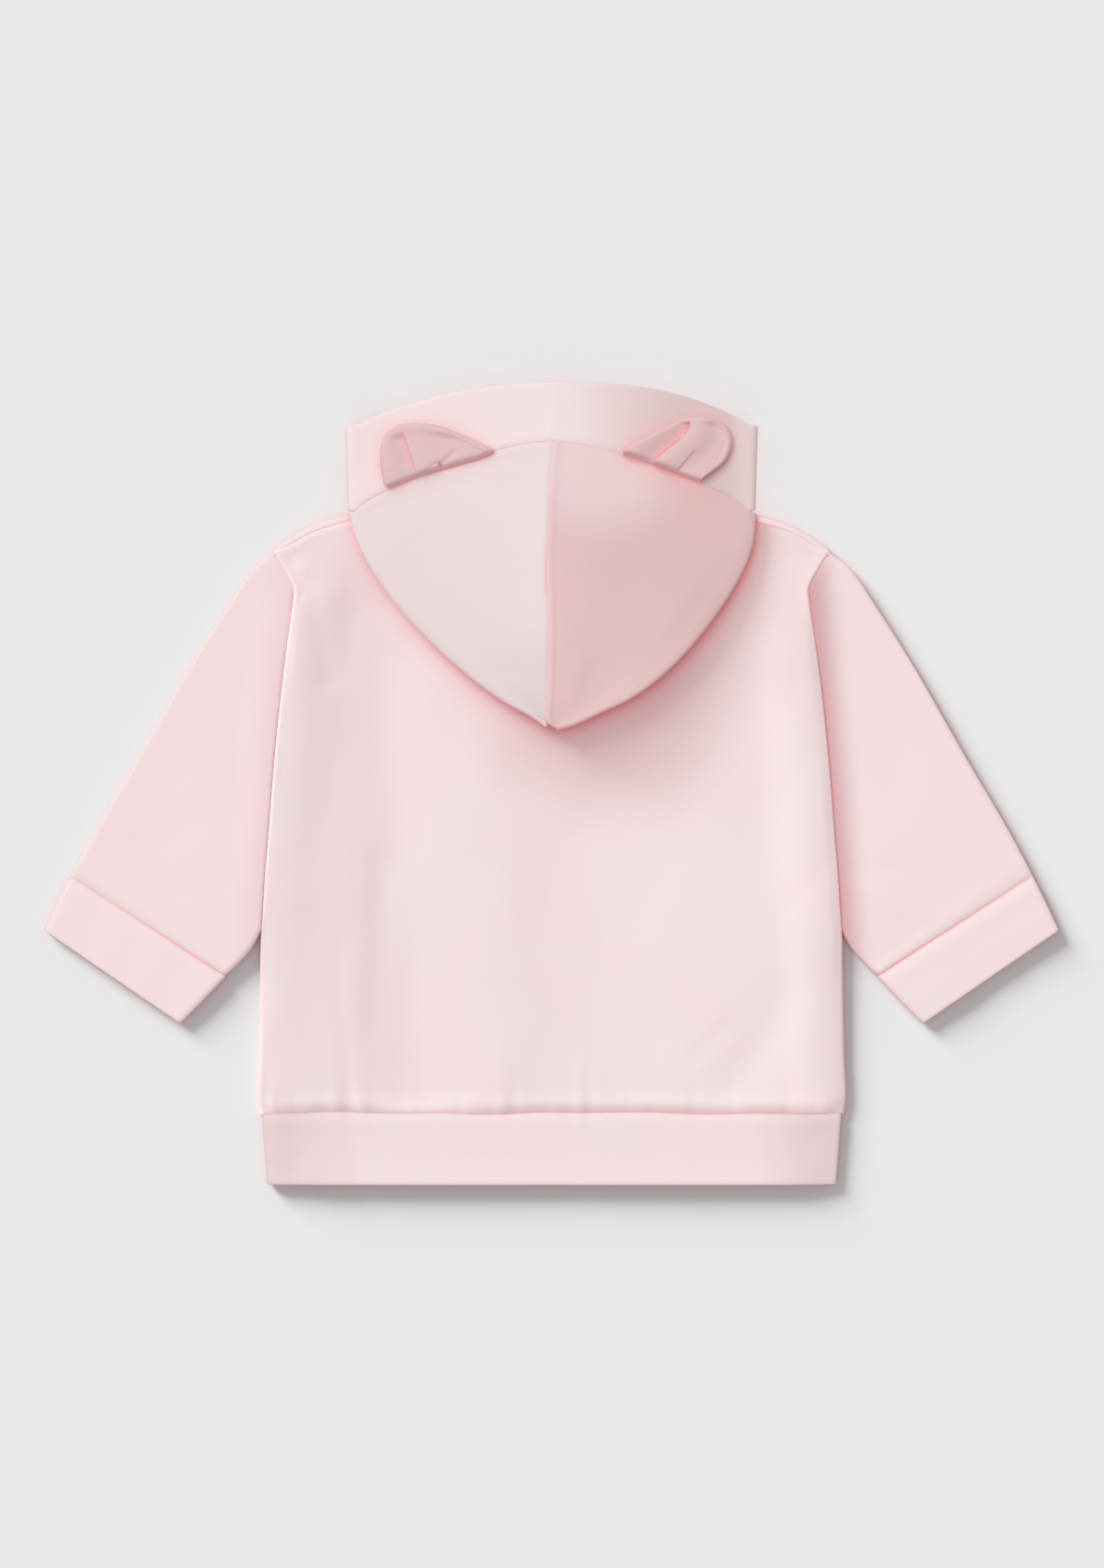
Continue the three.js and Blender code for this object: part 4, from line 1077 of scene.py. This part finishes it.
# The ears are two plies each, sewn round the edge, turned out and caught in the seam between band and hood.
# They have flopped over on the band, each with a tuck at its foot that makes it cup.
EARS = {
    "left": {
        "base": [(-30.2, 164.4), (-36, 161.9), (-46, 159.2), (-56, 156.4), (-67, 152.9), (-80.8, 147.4)],
        "edge": [(-29.3, 165.6), (-36.6, 169.2), (-48.1, 174.4), (-57.3, 177.6), (-66.5, 178.9),
                 (-74.4, 178.2), (-81, 174.6), (-84.3, 167.5), (-84.4, 158.6), (-83, 149.6)],
    },
    "right": {
        "base": [(36, 164.0), (48, 160.2), (58, 156.4), (66, 153.4), (73.6, 150.6)],
        "edge": [(35.6, 166), (46.2, 171.6), (57.7, 177.4), (66.9, 181.5), (77.5, 181.9), (85.9, 178.1),
                 (89.2, 171.2), (86.7, 162.2), (81.2, 157), (75.4, 153)],
    },
}


def band_z(x, y):
    """Middle of the band where it lies over the hood's top."""
    face = lerp(FACE_Z, FACE_SIDE_Z, abs(x) / HOOD_SIDE_X)
    return lerp(face, ear_seam_z(x), (face_y(x) - y) / (face_y(x) - ear_seam_y(x)))


def groove(x, y, start, end, spread):
    """1 on a line, fading over its spread beside it and past its ends."""
    dx, dy = end[0] - start[0], end[1] - start[1]
    t = min(max(((x - start[0]) * dx + (y - start[1]) * dy) / (dx * dx + dy * dy), 0.0), 1.0)
    return bell(math.hypot(x - start[0] - t * dx, y - start[1] - t * dy), spread)


def past_line(x, y, line):
    """Distance to the right of a line of several points, as one walks up it."""
    best = None
    for start, end in zip(line, line[1:]):
        dx, dy = end[0] - start[0], end[1] - start[1]
        t = min(max(((x - start[0]) * dx + (y - start[1]) * dy) / (dx * dx + dy * dy), 0.0), 1.0)
        away = math.hypot(x - start[0] - t * dx, y - start[1] - t * dy)
        side = 1 if dy * (x - start[0]) - dx * (y - start[1]) > 0 else -1
        if best is None or away < abs(best) - 1e-6:
            best = side * away
    return best


STEP = 0.55
LEFT_FLAP = [(-66.5, 153.5), (-68.2, 158.5), (-72.9, 172.2)]
RIGHT_CREASE = [(50.2, 159.6), (57.7, 165.6), (64.6, 171.1), (68.6, 175.7), (69.2, 180.4)]
RIGHT_RIDGE = [(61.8, 155.4), (70.2, 165.4)]


def left_ear_height(x, y, to_edge):
    """The flap that stands on the right, the hollow left of it, the strip at the seam and the tuck."""
    away = past_line(x, y, LEFT_FLAP)
    flap = 3.6 - 1.5 * ease(away, 1, 20) - 0.9 * math.exp(-max(0, away) / 0.7)
    hollow = 0.9 + 2.9 * ease(-away, 0.5, 12)
    strip = 2.4 - 0.12 * max(0, 157.8 - y) + 1.5 * ease(-away, 5, 13)
    hollow = lerp(hollow, strip, ease(157.8 - y, -STEP, STEP))
    height = lerp(hollow, flap, ease(away, -STEP, STEP))
    height = lerp(height, 3.8, ease(y, 171.0, 175.5))
    height += 0.7 * bell(to_edge - 2.2, 1.8) * ease(x, -80, -60)
    height -= 0.45 * bell(to_edge - 3.0, 0.5) * ease(x, -56, -48)
    height -= 2.4 * groove(x, y, (-54.6, 157.6), (-55.6, 158.8), 0.9)
    height -= 1.1 * groove(x, y, (-54.5, 158.8), (-48.5, 164.3), 1.5)
    return height - 0.7 * groove(x, y, (-62.3, 155.9), (-56.8, 159.6), 0.6)


def right_ear_height(x, y, to_edge):
    """The left lobe, and the right one that lies over it past a deep crease."""
    away = past_line(x, y, RIGHT_CREASE)
    left_lobe = 0.8 + 3.4 * ease(-away, 0.4, 11)
    right_lobe = 5.0 - 3.0 * ease(away, 3, 15) - 1.3 * math.exp(-max(0, away) / 0.8)
    height = lerp(left_lobe, right_lobe, ease(away, -STEP, STEP))
    height = lerp(height, 4.4, ease(y, 178.5, 181.5))
    beside = past_line(x, y, RIGHT_RIDGE)
    along = ease(y, 154, 157) * (1 - ease(y, 163, 167))
    height -= 1.1 * along * ease(beside, -0.3, 0.4) * math.exp(-max(0, beside) / 8)
    height += 1.0 * bell(to_edge - 1.8, 1.6) * ease(x, 66, 76)
    return height - 0.45 * bell(to_edge - 3.0, 0.5) * ease(x, 74, 78) * ease(y, 166, 172)


def ear_relief(side, x, y, to_edge):
    """How the upper ply stands above a flat one, round at its rim."""
    height = left_ear_height(x, y, to_edge) if side == "left" else right_ear_height(x, y, to_edge)
    inside = min(1.0, max(0.0, to_edge / 2.6))
    return 0.5 + (height - 0.5) * math.sqrt(1 - (1 - inside) ** 2)


def ear_rows(side, ply):
    foot, rim = Outline(EARS[side]["base"]), Outline(EARS[side]["edge"])
    on_band = (DOUBLED + CLOTH) / 2 + SEAM_GAP + ply * CLEAR
    rows = []
    for v in [*steps(56, 0, 0.9), 0.92, 0.94, 0.955, 0.97, 0.98, 0.99, 1]:
        row = []
        for u in steps(120):
            (bx, by), (ex, ey) = foot.at(u), rim.at(u)
            x, y = lerp(bx, ex, v), lerp(by, ey, v)
            out_of_seam = v * math.dist((bx, by), (ex, ey))
            z = band_z(x, y) + on_band - (1.5 + 0.3 * ply) * math.exp(-out_of_seam / 1.1)
            if ply:
                to_edge = (1 - v) * math.dist((bx, by), (ex, ey))
                z += ear_relief(side, x, y, to_edge) * ease(out_of_seam, -0.3, 2.2)
            row.append((x, y, z))
        rows.append(row)
    return rows


# Painted shade: the ears are painted a deeper, darker pink than the cloth, as they stand turned away from the
# lamps, with painted shade in their folds.
ear_fleece = fleece("fleece_ears", (0.73, 0.525, 0.52), PINK_FOLD_SHADE)
for side in ("left", "right"):
    for ply, layer_name in enumerate(("lower", "upper")):
        ear = cloth(f"ear_{side}_{layer_name}_cloth", ear_rows(side, ply), CLOTH, ear_fleece)
        finish_sheet(ear, f"ear_{side}_{layer_name}")
        hood_parts.objects.link(ear)

# The floor's lamp passes by all the parts of the hood.
for member in hood_parts.collection_objects:
    member.light_linking.link_state = "EXCLUDE"
